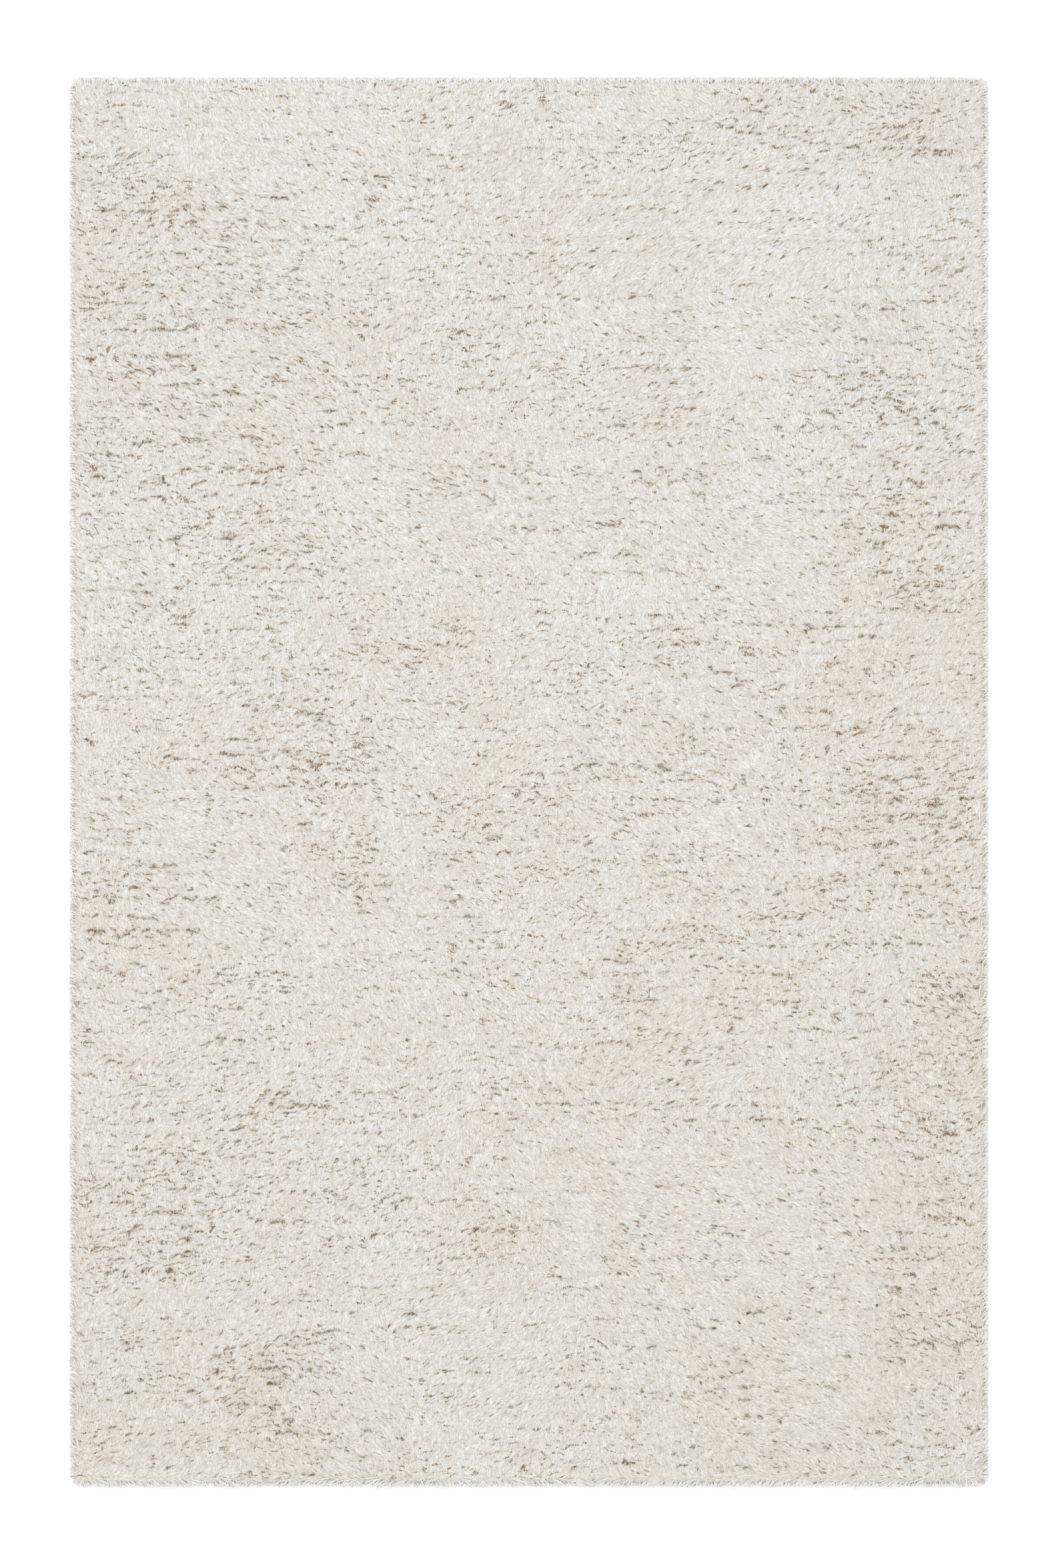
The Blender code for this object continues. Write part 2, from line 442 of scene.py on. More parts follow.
# The shape of the pile's surface is kept on maps of square cells.
mapCell = 1 * mm
mapMargin = 0.03
mapColumns = round(2 * (halfWidth + mapMargin) / mapCell)
mapRows = round(2 * (halfLength + mapMargin) / mapCell)
pitMap = np.zeros((mapRows, mapColumns), dtype=bool)  # where the pile stands open
hollowMap = np.zeros((mapRows, mapColumns), dtype=np.float32)  # how far the surface sinks there
swellMap = np.zeros((mapRows, mapColumns), dtype=np.float32)  # how far the tufts stand up
# strokeMap holds the painted shade of the gaps, which the material darkens the wool with.
strokeMap = np.zeros((mapRows, mapColumns), dtype=np.float32)  # 1 in a gap, fading out beside it

tuftRows = {
    "rowPitch": 20.5 * mm,
    "tuftPitch": 15 * mm,
    "inside": 0.010,  # none starts nearer the cloth's edge than this
    "slowWarp": 9 * mm,  # how far the rows stray from straight, in swells of the size below
    "slowWarpSize": 0.11,
    "quickWarp": 4 * mm,
    "quickWarpSize": 0.04,
    "scatter": 2.6 * mm,
    "scatterAcross": 1.5,  # times as far across the rug
    "rowPatch": 18 * mm,  # rows open together in patches this deep and far wider
    "rowPatchStretch": 0.28,
    "rowPatchShare": 0.9,
    "ownTurn": 0.5,
    "evenness": 0.4,  # how alike the gaps are in open and in closed pile
    "closedSize": 0.15,  # how large the gaps of closed pile get, beside those of open pile
    "mostlySmall": 1.6,  # above 1, most gaps are small
    "sizeInRow": 0.4,  # a gap is larger by this plus its row's share, within the next limits
    "sizeInRowLimits": (0.2, 1.3),
    "ownLength": 0.4,
    # darkWhereOpen, darkInRow, ownDarkness and gapStrength set how dark each gap's painted shade gets.
    "darkWhereOpen": 0.7,
    "darkInRow": 0.5,
    "ownDarkness": (-0.2, 0.45),
    "span": (13 * mm, 19 * mm),
    "lift": (0.6 * mm, 2.2 * mm),
    "bow": (0.05, 0.22),
    "gapLength": (5 * mm, 16 * mm),
    "gapWidth": (0.5 * mm, 2.4 * mm),
    "gapStrength": (0.72, 1.0),  # how dark the gap gets in closed and in open pile
}

# One more gap behind a tuft's front edge. Its own sizes are in millimetres.
smallGaps = {
    "chance": 0.5,  # times the openness plus the next value
    "chanceClosed": 0.4,
    "back": (5, 13),
    "strayX": 6,
    "strayY": 3,
    "ownTurn": 0.6,
    "length": (3, 7),
    "width": (0.5, 1.2),
    "span": 9,
    "bow": 0.5,
    "liftShare": 0.8,
}

tuftShape = {
    "rise": 22 * mm,  # how far back from its front edge a tuft starts to rise
    "riseKept": 0.7,  # the part of it that is drawn
    "leastDepth": 0.8 * mm,
    "depthPerWidth": 2.4,
    "leastPit": 0.8 * mm,  # a narrower gap lets yarns lie over it
    "apronShare": 0.5,  # how deep the yarn beyond the gap still starts
    "apronReach": (1.5 * mm, 0.9),  # at least, and for each metre of the gap's width
    "nearFade": 3.5 * mm,  # how far the shade of the gap reaches back and ahead
    "farFade": 8 * mm,
}
gaps = []  # x, y, heading, length, width, bow and strength of each one


def mapPlaces(x, y):
    column = np.clip(((x + halfWidth + mapMargin) / mapCell).astype(int), 0, mapColumns - 1)
    row = np.clip(((y + halfLength + mapMargin) / mapCell).astype(int), 0, mapRows - 1)
    return row, column


def shapeTuft(x, y, heading, span, lift, length, width, bow, strength):
    # Raises one tuft whose yarn ends point along heading and end at this point, in a front edge
    # that bows back at its sides, and sinks the gap ahead of it.
    shape = tuftShape
    leastApron, apronPerWidth = shape["apronReach"]
    apronReach = leastApron + apronPerWidth * width
    reach = max(0.5 * span, 0.5 * length) + shape["rise"] * shape["riseKept"]
    cells = int(2 * reach / mapCell) + 2
    left = min(max(0, int((x - reach + halfWidth + mapMargin) / mapCell)), mapColumns - cells)
    low = min(max(0, int((y - reach + halfLength + mapMargin) / mapCell)), mapRows - cells)
    cellX = (left + np.arange(cells) + 0.5) * mapCell - halfWidth - mapMargin - x
    cellY = (low + np.arange(cells) + 0.5) * mapCell - halfLength - mapMargin - y
    gridX, gridY = np.meshgrid(cellX, cellY)
    ahead = gridX * math.cos(heading) + gridY * math.sin(heading)
    aside = -gridX * math.sin(heading) + gridY * math.cos(heading)
    taper = np.sqrt(1 - np.clip(2 * aside / length, -1, 1) ** 2)
    ahead = ahead + bow * (2 * aside / length) ** 2
    spanTaper = np.sqrt(np.clip(1 - (2 * aside / span) ** 2, 0, 1))
    depth = shape["leastDepth"] + shape["depthPerWidth"] * width
    pit = (ahead > 0) & (ahead < width * taper)
    beyond = np.exp(-np.clip(ahead - width * taper, 0, None) / apronReach)
    sunk = np.where(ahead > 0, depth * shape["apronShare"] * beyond * taper, 0)
    sunk = np.where(pit, depth * np.sqrt(taper), sunk)
    swell = lift * spanTaper * np.clip(1 + ahead / shape["rise"], 0, 1) * (ahead <= 0)
    # The gap's painted shade: full in it, fading out back and ahead of it.
    past = np.clip((ahead - width * taper) / shape["farFade"], 0, None)
    short = np.maximum(-ahead, np.abs(aside) - 0.5 * length) / shape["nearFade"]
    stroke = strength * np.clip(1 - np.maximum(past, np.maximum(short, 0)), 0, 1)
    window = (slice(low, low + cells), slice(left, left + cells))
    strokeMap[window] = np.maximum(strokeMap[window], stroke)
    if width > shape["leastPit"]:
        pitMap[window] |= pit
    hollowMap[window] = np.maximum(hollowMap[window], sunk)
    swellMap[window] = np.maximum(swellMap[window], swell)
    gaps.append((x, y, heading, length, width, bow, strength))


def between(limits, part):
    low, high = limits
    return low + (high - low) * part


def layTufts():
    rows = tuftRows
    rng = np.random.default_rng(21)
    countY = int(2 * halfLength / rows["rowPitch"])
    countX = int(2 * halfWidth / rows["tuftPitch"])
    rowIndex, tuftIndex = np.meshgrid(np.arange(countY), np.arange(countX), indexing="ij")
    x = (tuftIndex + 0.5 * (rowIndex % 2)) * rows["tuftPitch"] - halfWidth
    y = (rowIndex + 0.5) * rows["rowPitch"] - halfLength
    x = x.ravel() + rng.uniform(-1, 1, x.size) * rows["scatterAcross"] * rows["scatter"]
    y = y.ravel() + rng.uniform(-1, 1, y.size) * rows["scatter"]
    slowWarp = rows["slowWarp"] * softNoise(x, y, rows["slowWarpSize"], 22)
    quickWarp = rows["quickWarp"] * softNoise(x, y, rows["quickWarpSize"], 23)
    y = y + slowWarp + quickWarp
    side, end = edgeNearness(x, y, rows["inside"])
    inField = (side == 0) & (end == 0)
    x = x[inField]
    y = y[inField]
    count = x.size
    heading, jumble, openness = flowAt(x, y)
    openness = rows["evenness"] * usualLie["openness"] + (1 - rows["evenness"]) * openness
    angle = foldAngle(heading) + math.pi / 2 + rows["ownTurn"] * jumble * rng.normal(0, 1, count)
    rowPatch = softNoise(rows["rowPatchStretch"] * x, y, rows["rowPatch"], 24)
    rowShare = 0.5 + rows["rowPatchShare"] * rowPatch
    size = rng.uniform(0, 1, count) ** rows["mostlySmall"]
    size = size * (rows["closedSize"] + (1 - rows["closedSize"]) * openness)
    size = size * np.clip(rowShare + rows["sizeInRow"], *rows["sizeInRowLimits"])
    span = between(rows["span"], rng.uniform(0, 1, count))
    lift = between(rows["lift"], 0.5 * openness + 0.5 * rng.uniform(0, 1, count))
    lengthShare = np.clip(size + rng.uniform(0, rows["ownLength"], count), 0, 1)
    length = between(rows["gapLength"], lengthShare)
    width = between(rows["gapWidth"], size)
    darkness = rows["darkWhereOpen"] * openness + rows["darkInRow"] * (rowShare - 0.5)
    darkness = darkness + rng.uniform(*rows["ownDarkness"], count)
    strength = between(rows["gapStrength"], np.clip(darkness, 0, 1))
    bow = span * rng.uniform(*rows["bow"], count) * (length / span) ** 2
    for k in range(count):
        shapeTuft(x[k], y[k], angle[k], span[k], lift[k], length[k], width[k], bow[k], strength[k])
    small = smallGaps
    chance = small["chance"] * (small["chanceClosed"] + openness)
    for k in np.flatnonzero(rng.uniform(0, 1, count) < chance):
        back = rng.uniform(*small["back"]) * mm
        smallX = x[k] - back * math.cos(angle[k]) + rng.uniform(-small["strayX"], small["strayX"]) * mm
        smallY = y[k] - back * math.sin(angle[k]) + rng.uniform(-small["strayY"], small["strayY"]) * mm
        turn = angle[k] + rng.normal(0, small["ownTurn"])
        smallLength = rng.uniform(*small["length"]) * mm
        smallWidth = rng.uniform(*small["width"]) * mm
        shapeTuft(
            smallX, smallY, turn, small["span"] * mm, lift[k] * small["liftShare"], smallLength,
            smallWidth, small["bow"] * mm, strength[k],
        )


# How the long rows are broken up into gaps. Places and sizes are in millimetres.
longRows = {
    "pitch": 13,
    "leftOut": 0.25,  # the part of them that stays closed
    "strayX": 1.5,
    "strayY": 3,
    "opening": (0.25, 0.7),  # of the width that the row is given
    "length": (7, 15),
    "pastRow": 4,  # how much longer than its row a gap may be
    "tuftWider": 3,
    "lift": 1.5,
    "ownTurn": 0.22,
    "bow": (0.05, 0.3),
    # how dark the painted shade of these gaps gets
    "strength": (0.84, 1.0),
}


def openLongRows():
    rows = longRows
    rng = np.random.default_rng(31)
    for startX, startY, endX, endY, width in openRows:
        length = math.hypot(endX - startX, endY - startY)
        tufts = max(1, round(length / (rows["pitch"] * mm)))
        heading = math.atan2(endY - startY, endX - startX) + math.pi / 2
        if math.sin(heading) < 0:
            heading += math.pi
        for k in range(tufts):
            if tufts > 2 and rng.uniform() < rows["leftOut"]:
                continue
            along = (k + 0.5) / tufts
            x = startX + (endX - startX) * along + rng.uniform(-rows["strayX"], rows["strayX"]) * mm
            y = startY + (endY - startY) * along + rng.uniform(-rows["strayY"], rows["strayY"]) * mm
            opening = width * mm * rng.uniform(*rows["opening"])
            dash = min(length + rows["pastRow"] * mm, rng.uniform(*rows["length"]) * mm)
            turn = heading + rng.normal(0, rows["ownTurn"])
            bow = dash * rng.uniform(*rows["bow"])
            strength = rng.uniform(*rows["strength"])
            span = dash + rows["tuftWider"] * mm
            shapeTuft(x, y, turn, span, rows["lift"] * mm, dash, opening, bow, strength)


surface = {
    "below": 3.2 * mm,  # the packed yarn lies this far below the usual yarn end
    "openSwell": 1.6 * mm,  # how much higher open pile stands than closed pile
    "evenAt": 0.45,  # the openness that leaves it at its usual height
    "ripple": 0.8 * mm,  # its height, times the next value in closed pile and more in open pile
    "rippleClosed": 0.6,
    "rippleOpen": 0.8,
    "rippleSize": 13 * mm,
    "fineRipple": 0.7,  # the height and size of the finer ripples, beside these
    "rippleStretch": 0.4,  # the ripples run across the rug
    "edgeRound": 8 * mm,
    "edgeDrop": 3.2 * mm,
    "lowest": 8 * mm,
}


def smoothMap(values):
    # Takes the hard cell steps out of a map.
    padded = np.pad(values, 1, mode="edge")
    lines = 0.25 * padded[:-2] + 0.5 * padded[1:-1] + 0.25 * padded[2:]
    return 0.25 * lines[:, :-2] + 0.5 * lines[:, 1:-1] + 0.25 * lines[:, 2:]


def edgeDistance(x, y):
    # How far inside the cloth's rounded outline these points are.
    radius = rug["cornerRadius"]
    dx = np.abs(x) - (halfWidth - radius)
    dy = np.abs(y) - (halfLength - radius)
    outside = np.hypot(np.maximum(dx, 0), np.maximum(dy, 0)) + np.minimum(np.maximum(dx, dy), 0)
    return radius - outside


def surfaceAt(x, y, openness):
    # Height of the packed yarn.
    places = mapPlaces(x, y)
    lie = surface
    acrossX = lie["rippleStretch"] * x
    ripple = softNoise(acrossX, y, lie["rippleSize"], 61)
    ripple = ripple + lie["fineRipple"] * softNoise(acrossX, y, lie["fineRipple"] * lie["rippleSize"], 62)
    height = crown - lie["below"] + lie["openSwell"] * (openness - lie["evenAt"])
    rippleShare = lie["rippleClosed"] + lie["rippleOpen"] * openness
    height = height + lie["ripple"] * ripple * rippleShare + swellMap[places]
    inward = np.clip(edgeDistance(x, y) / lie["edgeRound"], 0, 1)
    height = height - lie["edgeDrop"] * (1 - np.sqrt(1 - (1 - inward) ** 2))
    return np.maximum(height - hollowMap[places], lie["lowest"])


def scatterRoots(pitch, rng):
    # One root in each cell of a grid, anywhere in its cell.
    columns = int(2 * halfWidth / pitch)
    rows = int(2 * halfLength / pitch)
    i, j = np.meshgrid(np.arange(columns), np.arange(rows))
    x = (i.ravel() + rng.uniform(0, 1, i.size)) * 2 * halfWidth / columns - halfWidth
    y = (j.ravel() + rng.uniform(0, 1, j.size)) * 2 * halfLength / rows - halfLength
    onCloth = edgeDistance(x, y) > 0
    return x[onCloth], y[onCloth]


# The packed pile is a closed relief in bands.
relief = {
    "cellX": 5.0 * mm,
    "cellY": 3.2 * mm,
    "bands": 3,
    "cornerZone": 0.03,  # the grid is drawn in over this much of each corner
    "closedEdge": 4 * mm,  # there are no openings on the sides and this near them
    "footInCloth": 0.5 * mm,  # how far the pile reaches into the cloth
    "tuck": 1.5 * mm,  # how far each band's last row sinks under its neighbour
}


def roundCorners(x, y):
    # Draws the corners of a rectangular grid in to the cloth's rounded outline.
    zone = relief["cornerZone"]
    radius = rug["cornerRadius"]
    ax = (np.abs(x) - (halfWidth - zone)) / zone
    ay = (np.abs(y) - (halfLength - zone)) / zone
    inCorner = (ax > 0) & (ay > 0)
    most = np.where(inCorner, np.maximum(ax, ay), 1)
    u = np.where(inCorner, ax / most, 1)
    v = np.where(inCorner, ay / most, 0)
    keep = 1 - radius / zone
    past = (u > keep) & (v > keep)
    length2 = u**2 + v**2
    along = keep * (u + v) / length2
    rootPart = along**2 - (2 * keep**2 - (radius / zone) ** 2) / length2
    drawn = np.where(past, along + np.sqrt(np.maximum(rootPart, 0)), 1)
    drawn = 1 + (np.minimum(drawn, 1) - 1) * np.clip(most, 0, 1) ** 3
    newX = np.where(inCorner, np.sign(x) * (halfWidth - zone + zone * ax * drawn), x)
    newY = np.where(inCorner, np.sign(y) * (halfLength - zone + zone * ay * drawn), y)
    return newX, newY


def makeReliefBand(number, material):
    cellsX = round(2 * halfWidth / relief["cellX"])
    bandLength = 2 * halfLength / relief["bands"]
    rowsInBand = round(bandLength / relief["cellY"])
    rowLength = bandLength / rowsInBand
    first = -halfLength + number * bandLength
    last = first + bandLength
    low = first - rowLength * (number > 0)
    high = last + rowLength * (number < relief["bands"] - 1)
    cellsY = round((high - low) / rowLength)
    bm = bmesh.new()
    bmesh.ops.create_grid(bm, x_segments=cellsX, y_segments=cellsY, size=0.5)
    rim = [edge for edge in bm.edges if edge.is_boundary]
    walls = bmesh.ops.extrude_edge_only(bm, edges=rim)["geom"]
    footEdges = [item for item in walls if isinstance(item, bmesh.types.BMEdge)]
    footVerts = [item for item in walls if isinstance(item, bmesh.types.BMVert)]
    bmesh.ops.translate(bm, vec=(0, 0, -1), verts=footVerts)
    bmesh.ops.contextual_create(bm, geom=footEdges)
    bmesh.ops.recalc_face_normals(bm, faces=bm.faces)
    name = "pile_relief_" + str(number + 1)
    mesh = bpy.data.meshes.new(name)
    bm.to_mesh(mesh)
    bm.free()
    points = np.empty(len(mesh.vertices) * 3)
    mesh.vertices.foreach_get("co", points)
    points = points.reshape(-1, 3)
    onTop = points[:, 2] > -0.5
    middle = (low + high) / 2
    x, y = roundCorners(points[:, 0] * 2 * halfWidth, middle + points[:, 1] * (high - low))
    heading, _, openness = flowAt(x, y)
    height = surfaceAt(x, y, openness)
    foot = rug["clothThickness"] - relief["footInCloth"]
    tucked = (y < first - rowLength / 2) | (y > last + rowLength / 2)
    points[:, 0] = x * (1 - tucked * relief["tuck"] / halfWidth)
    points[:, 1] = y
    points[:, 2] = np.where(onTop, height - relief["tuck"] * tucked, foot)
    mesh.vertices.foreach_set("co", points.ravel())
    rowShare = folds["rows"] * softNoise(folds["rowStretch"] * x, y, folds["rowSize"], 25)
    inside = np.clip(edgeDistance(x, y) / relief["closedEdge"], 0, 1)
    # stroke and openness set the painted shade and the bump of the gaps and folds; tint is the wool's own
    # tone.
    values = {
        "stroke": strokeMap[mapPlaces(x, y)],
        "openness": inside * np.clip(openness + rowShare, 0, folds["widest"]),
        "tint": tintAt(x, y, openness),
    }
    for key, value in values.items():
        mesh.attributes.new(key, "FLOAT", "POINT").data.foreach_set("value", value.astype(np.float32))
    for key, angle in (("combed", heading), ("folded", foldAngle(heading))):
        lean = np.zeros((x.size, 3), dtype=np.float32)
        lean[:, 0] = np.cos(2 * angle)
        lean[:, 1] = np.sin(2 * angle)
        mesh.attributes.new(key, "FLOAT_VECTOR", "POINT").data.foreach_set("vector", lean.ravel())
    mesh.update()
    piece = addObject(name, mesh, material)
    print(name, len(mesh.loops) - 2 * len(mesh.polygons), "triangles")
    return piece


def spindle():
    # One three-sided spindle with points at both ends: along, across, over, and its triangles.
    bm = bmesh.new()
    bmesh.ops.create_uvsphere(bm, u_segments=3, v_segments=2, radius=0.5)
    bmesh.ops.triangulate(bm, faces=bm.faces)
    bmesh.ops.recalc_face_normals(bm, faces=bm.faces)
    points = np.array([vert.co[:] for vert in bm.verts])
    triangles = np.array([[vert.index for vert in face.verts] for face in bm.faces])
    bm.free()
    along = points[:, 2] + 0.5
    across = -points[:, 1]
    over = points[:, 0]
    return along, across, over, triangles


def pathAt(yarns, t):
    # Where the middle of each yarn is in plan, at this share of its reach.
    heading = yarns["heading"]
    bend = yarns["curl"] * t**2
    x = yarns["x"] + yarns["reach"] * (t * np.cos(heading) - bend * np.sin(heading))
    y = yarns["y"] + yarns["reach"] * (t * np.sin(heading) + bend * np.cos(heading))
    return x, y


def yarnMesh(name, yarns, kind, material):
    # Many spindles in one mesh. yarns holds one value for each yarn; rootZ, midZ and tipZ are its
    # heights. The mesh's own normals point up and lean out at each yarn's sides.
    along, across, over, triangles = spindle()
    count = yarns["x"].size
    points = np.empty((count, along.size, 3), dtype=np.float32)
    normals = np.empty((count, along.size, 3), dtype=np.float32)
    toMiddle = yarns["bendPlace"] * yarns["reach"]
    rises = (
        (yarns["midZ"] - yarns["rootZ"]) / toMiddle,
        (yarns["tipZ"] - yarns["rootZ"]) / yarns["reach"],
        (yarns["tipZ"] - yarns["midZ"]) / (yarns["reach"] - toMiddle),
    )
    uv = np.empty((count, along.size, 2), dtype=np.float32)
    for corner in range(along.size):
        if along[corner] < 0.25:
            t, level, rise = np.zeros(count), yarns["rootZ"], rises[0]
        elif along[corner] < 0.75:
            t, level, rise = yarns["bendPlace"], yarns["midZ"], rises[1]
        else:
            t, level, rise = np.ones(count), yarns["tipZ"], rises[2]
        x, y = pathAt(yarns, t)
        turned = yarns["heading"] + 2 * yarns["curl"] * t
        aside = across[corner] * yarns["width"]
        points[:, corner, 0] = x - np.sin(turned) * aside
        points[:, corner, 1] = y + np.cos(turned) * aside
        points[:, corner, 2] = level + over[corner] * kind["flatness"] * yarns["width"]
        rise = np.clip(rise, -yarns["steepestNormal"], yarns["steepestNormal"])
        lean = across[corner] * kind["roundness"]
        normals[:, corner, 0] = -rise * np.cos(turned) - lean * np.sin(turned)
        normals[:, corner, 1] = -rise * np.sin(turned) + lean * np.cos(turned)
        normals[:, corner, 2] = 1
        # U holds the yarn's tone; V runs up the painted shade ramp from the root's place on it to the
        # tip.
        uv[:, corner, 0] = yarns["tone"] + across[corner] * kind["toneWidth"]
        uv[:, corner, 1] = yarns["rootOnShadeRamp"] + (1 - yarns["rootOnShadeRamp"]) * t
    corners = (triangles[None] + (np.arange(count) * along.size)[:, None, None]).reshape(-1)
    mesh = bpy.data.meshes.new(name)
    mesh.vertices.add(count * along.size)
    mesh.vertices.foreach_set("co", points.ravel())
    mesh.loops.add(corners.size)
    mesh.loops.foreach_set("vertex_index", corners.astype(np.int32))
    mesh.polygons.add(corners.size // 3)
    mesh.polygons.foreach_set("loop_start", np.arange(0, corners.size, 3, dtype=np.int32))
    mesh.update(calc_edges=True)
    normals /= np.linalg.norm(normals, axis=2, keepdims=True)
    mesh.normals_split_custom_set_from_vertices(normals.reshape(-1, 3))
    layer = mesh.uv_layers.new(name="OFBake")
    layer.uv.foreach_set("vector", np.clip(uv.reshape(-1, 2)[corners], 0.001, 0.999).ravel())
    print(name, len(mesh.polygons), "triangles")
    return addObject(name, mesh, material, smooth=False)


def keptBeforeGaps(yarns):
    # How much of its reach a yarn keeps before it would hang over a gap.
    kept = np.ones_like(yarns["x"])
    stillInside = np.ones(kept.size, dtype=bool)
    for t in np.linspace(0, 1.0, strands["gapSteps"]):
        overGap = pitMap[mapPlaces(*pathAt(yarns, t))]
        stillInside &= overGap
        stopped = overGap & ~stillInside & (t < kept)
        kept[stopped] = t
    return kept


strands = {
    "pitch": 9.5 * mm,
    "width": (1.0 * mm, 2.4 * mm),
    "mostlyNarrow": 1.6,  # above 1, most yarns are narrow
    "flatness": 0.22,
    "steepestNormal": 0.5,  # how steep a yarn looks at most
    "roundness": 0.9,  # how round a yarn looks: its normals lean this far out at its sides
    "reach": (10 * mm, 18 * mm),
    "closedReach": 1.3,  # times as long in closed pile, and less in open pile
    "openReach": 0.8,
    "bend": 0.6,  # the most it bends to follow the lie ahead
    "bendsBy": 0.7,  # how far ahead that is, as a part of its reach
    "ownBend": 0.15,
    "bendPlace": (0.35, 0.6),  # where along the yarn its middle height is
    "rootPlace": 0.12,  # where along the yarn the height of its root is taken
    "rootSink": 1.0 * mm,
    "steepest": 2.5 * mm,  # the most a yarn rises from its root to its middle
    "midLift": (0.0 * mm, 1.0 * mm),
    "tipLift": (-0.4 * mm, 0.6 * mm),
    "tipSink": 1.5 * mm,
    "toneWidth": 0.006,
    "ownTone": 0.2,
    "ownTurn": 1.0,  # how far one yarn turns from its lock, times the jumble
    "besideGapTurn": 0.9,
    # Where a yarn's root starts on the painted shade ramp, lower being browner:
    "rootOnShadeRamp": (0.2, 0.0),  # in closed and in open pile
    "ownRootOnShadeRamp": 0.25,
    "shorterAtEdge": 0.4,
    "edgeZone": 0.02,
    "gapSteps": 18,  # places along a yarn where it is tested for a gap under it
    "leastKept": 0.35,  # a yarn cut shorter than this by a gap is left out
    "acrossGap": 0.9,  # the part of a gap that has yarns beside it
    "seed": 51,
    "pieces": 4,
}

# Yarn ends side by side along each gap's near edge. Reach and overshoot are in millimetres.
rims = {
    "spacing": 2.6 * mm,
    "stray": 0.15,
    "reach": (7, 13),
    "overshoot": (-0.8, 1.2),
    "bend": 0.12,
    # Their roots start paler on the painted shade ramp than those of the field yarns.
    "rootOnShadeRamp": (0.4, 0.6),
    "bendPlace": (0.45, 0.75),
}

# Yarns that rise out of each gap's floor on its far side, with painted brown shade at the root.
teeth = {
    "spacing": 3.0 * mm,
    "stray": 0.2,
    "reach": (7, 13),
    "start": (0.0, 0.7),  # how far across the gap
    "bend": 0.3,
    # The painted shade at their roots is browner beside darker gaps, and never paler than palestRoot on
    # the ramp.
    "ownRootOnShadeRamp": (-0.05, 0.15),
    "palestRoot": 0.5,
    "rootTonePerShade": 1.15,
    "bendPlace": (0.18, 0.3),
}


def fieldStrands(rng):
    # Yarns that start anywhere and follow the lie of the pile.
    kind = strands
    x, y = scatterRoots(kind["pitch"], rng)
    count = x.size
    heading, jumble, openness = flowAt(x, y)
    shorter = kind["closedReach"] - kind["openReach"]
    reach = rng.uniform(*kind["reach"], count) * (kind["closedReach"] - shorter * openness)
    aheadX = x + kind["bendsBy"] * reach * np.cos(heading)
    aheadY = y + kind["bendsBy"] * reach * np.sin(heading)
    ahead = flowAt(aheadX, aheadY)[0]
    bend = np.clip(0.5 * np.angle(np.exp(1j * (ahead - heading))), -kind["bend"], kind["bend"])
    rootOnShadeRamp = between(kind["rootOnShadeRamp"], openness)
    return {
        "x": x,
        "y": y,
        "heading": heading + kind["ownTurn"] * jumble * rng.normal(0, 1, count),
        "curl": bend + rng.uniform(-kind["ownBend"], kind["ownBend"], count),
        "reach": reach,
        "rootOnShadeRamp": rootOnShadeRamp + rng.uniform(0, kind["ownRootOnShadeRamp"], count),
        "bendPlace": rng.uniform(*kind["bendPlace"], count),
    }


def besideGaps(kind, rng):
    # The values of its gap for each of several yarns at every gap, and their places across it.
    marks = np.array(gaps)
    perGap = np.maximum(2, np.round(marks[:, 3] / kind["spacing"])).astype(int)
    total = perGap.sum()
    number = np.arange(total) - np.repeat(np.cumsum(perGap) - perGap, perGap)
    marks = np.repeat(marks, perGap, axis=0)
    places = 2 * (number + 0.5) / np.repeat(perGap, perGap) - 1
    places = places * strands["acrossGap"]
    return marks, places + rng.uniform(-kind["stray"], kind["stray"], total)


def gapPoint(marks, place, ahead):
    # The point this far ahead of a gap's near edge, at this place across it.
    aside = 0.5 * place * marks[:, 3]
    ahead = ahead - marks[:, 5] * place**2
    x = marks[:, 0] + ahead * np.cos(marks[:, 2]) - aside * np.sin(marks[:, 2])
    y = marks[:, 1] + ahead * np.sin(marks[:, 2]) + aside * np.cos(marks[:, 2])
    return x, y


def headingsAt(marks, rng):
    # The way the yarns beside these gaps point.
    heading, jumble, _ = flowAt(marks[:, 0], marks[:, 1])
    return heading + strands["besideGapTurn"] * jumble * rng.normal(0, 1, len(marks))


def rimStrands(rng):
    marks, place = besideGaps(rims, rng)
    count = len(marks)
    reach = rng.uniform(*rims["reach"], count) * mm
    heading = headingsAt(marks, rng)
    tipX, tipY = gapPoint(marks, place, rng.uniform(*rims["overshoot"], count) * mm)
    return {
        "x": tipX - reach * np.cos(heading),
        "y": tipY - reach * np.sin(heading),
        "heading": heading,
        "curl": rng.uniform(-rims["bend"], rims["bend"], count),
        "reach": reach,
        "rootOnShadeRamp": rng.uniform(*rims["rootOnShadeRamp"], count),
        "bendPlace": rng.uniform(*rims["bendPlace"], count),
    }


def toothStrands(rng):
    marks, place = besideGaps(teeth, rng)
    count = len(marks)
    heading = headingsAt(marks, rng)
    x, y = gapPoint(marks, place, marks[:, 4] * rng.uniform(*teeth["start"], count))
    curl = rng.uniform(-teeth["bend"], teeth["bend"], count)
    reach = rng.uniform(*teeth["reach"], count) * mm
    rootOnShadeRamp = teeth["rootTonePerShade"] * (1 - marks[:, 6]) + rng.uniform(*teeth["ownRootOnShadeRamp"], count)
    return {
        "x": x,
        "y": y,
        "heading": heading,
        "curl": curl,
        "reach": reach,
        "rootOnShadeRamp": np.clip(rootOnShadeRamp, 0, teeth["palestRoot"]),
        "bendPlace": rng.uniform(*teeth["bendPlace"], count),
    }


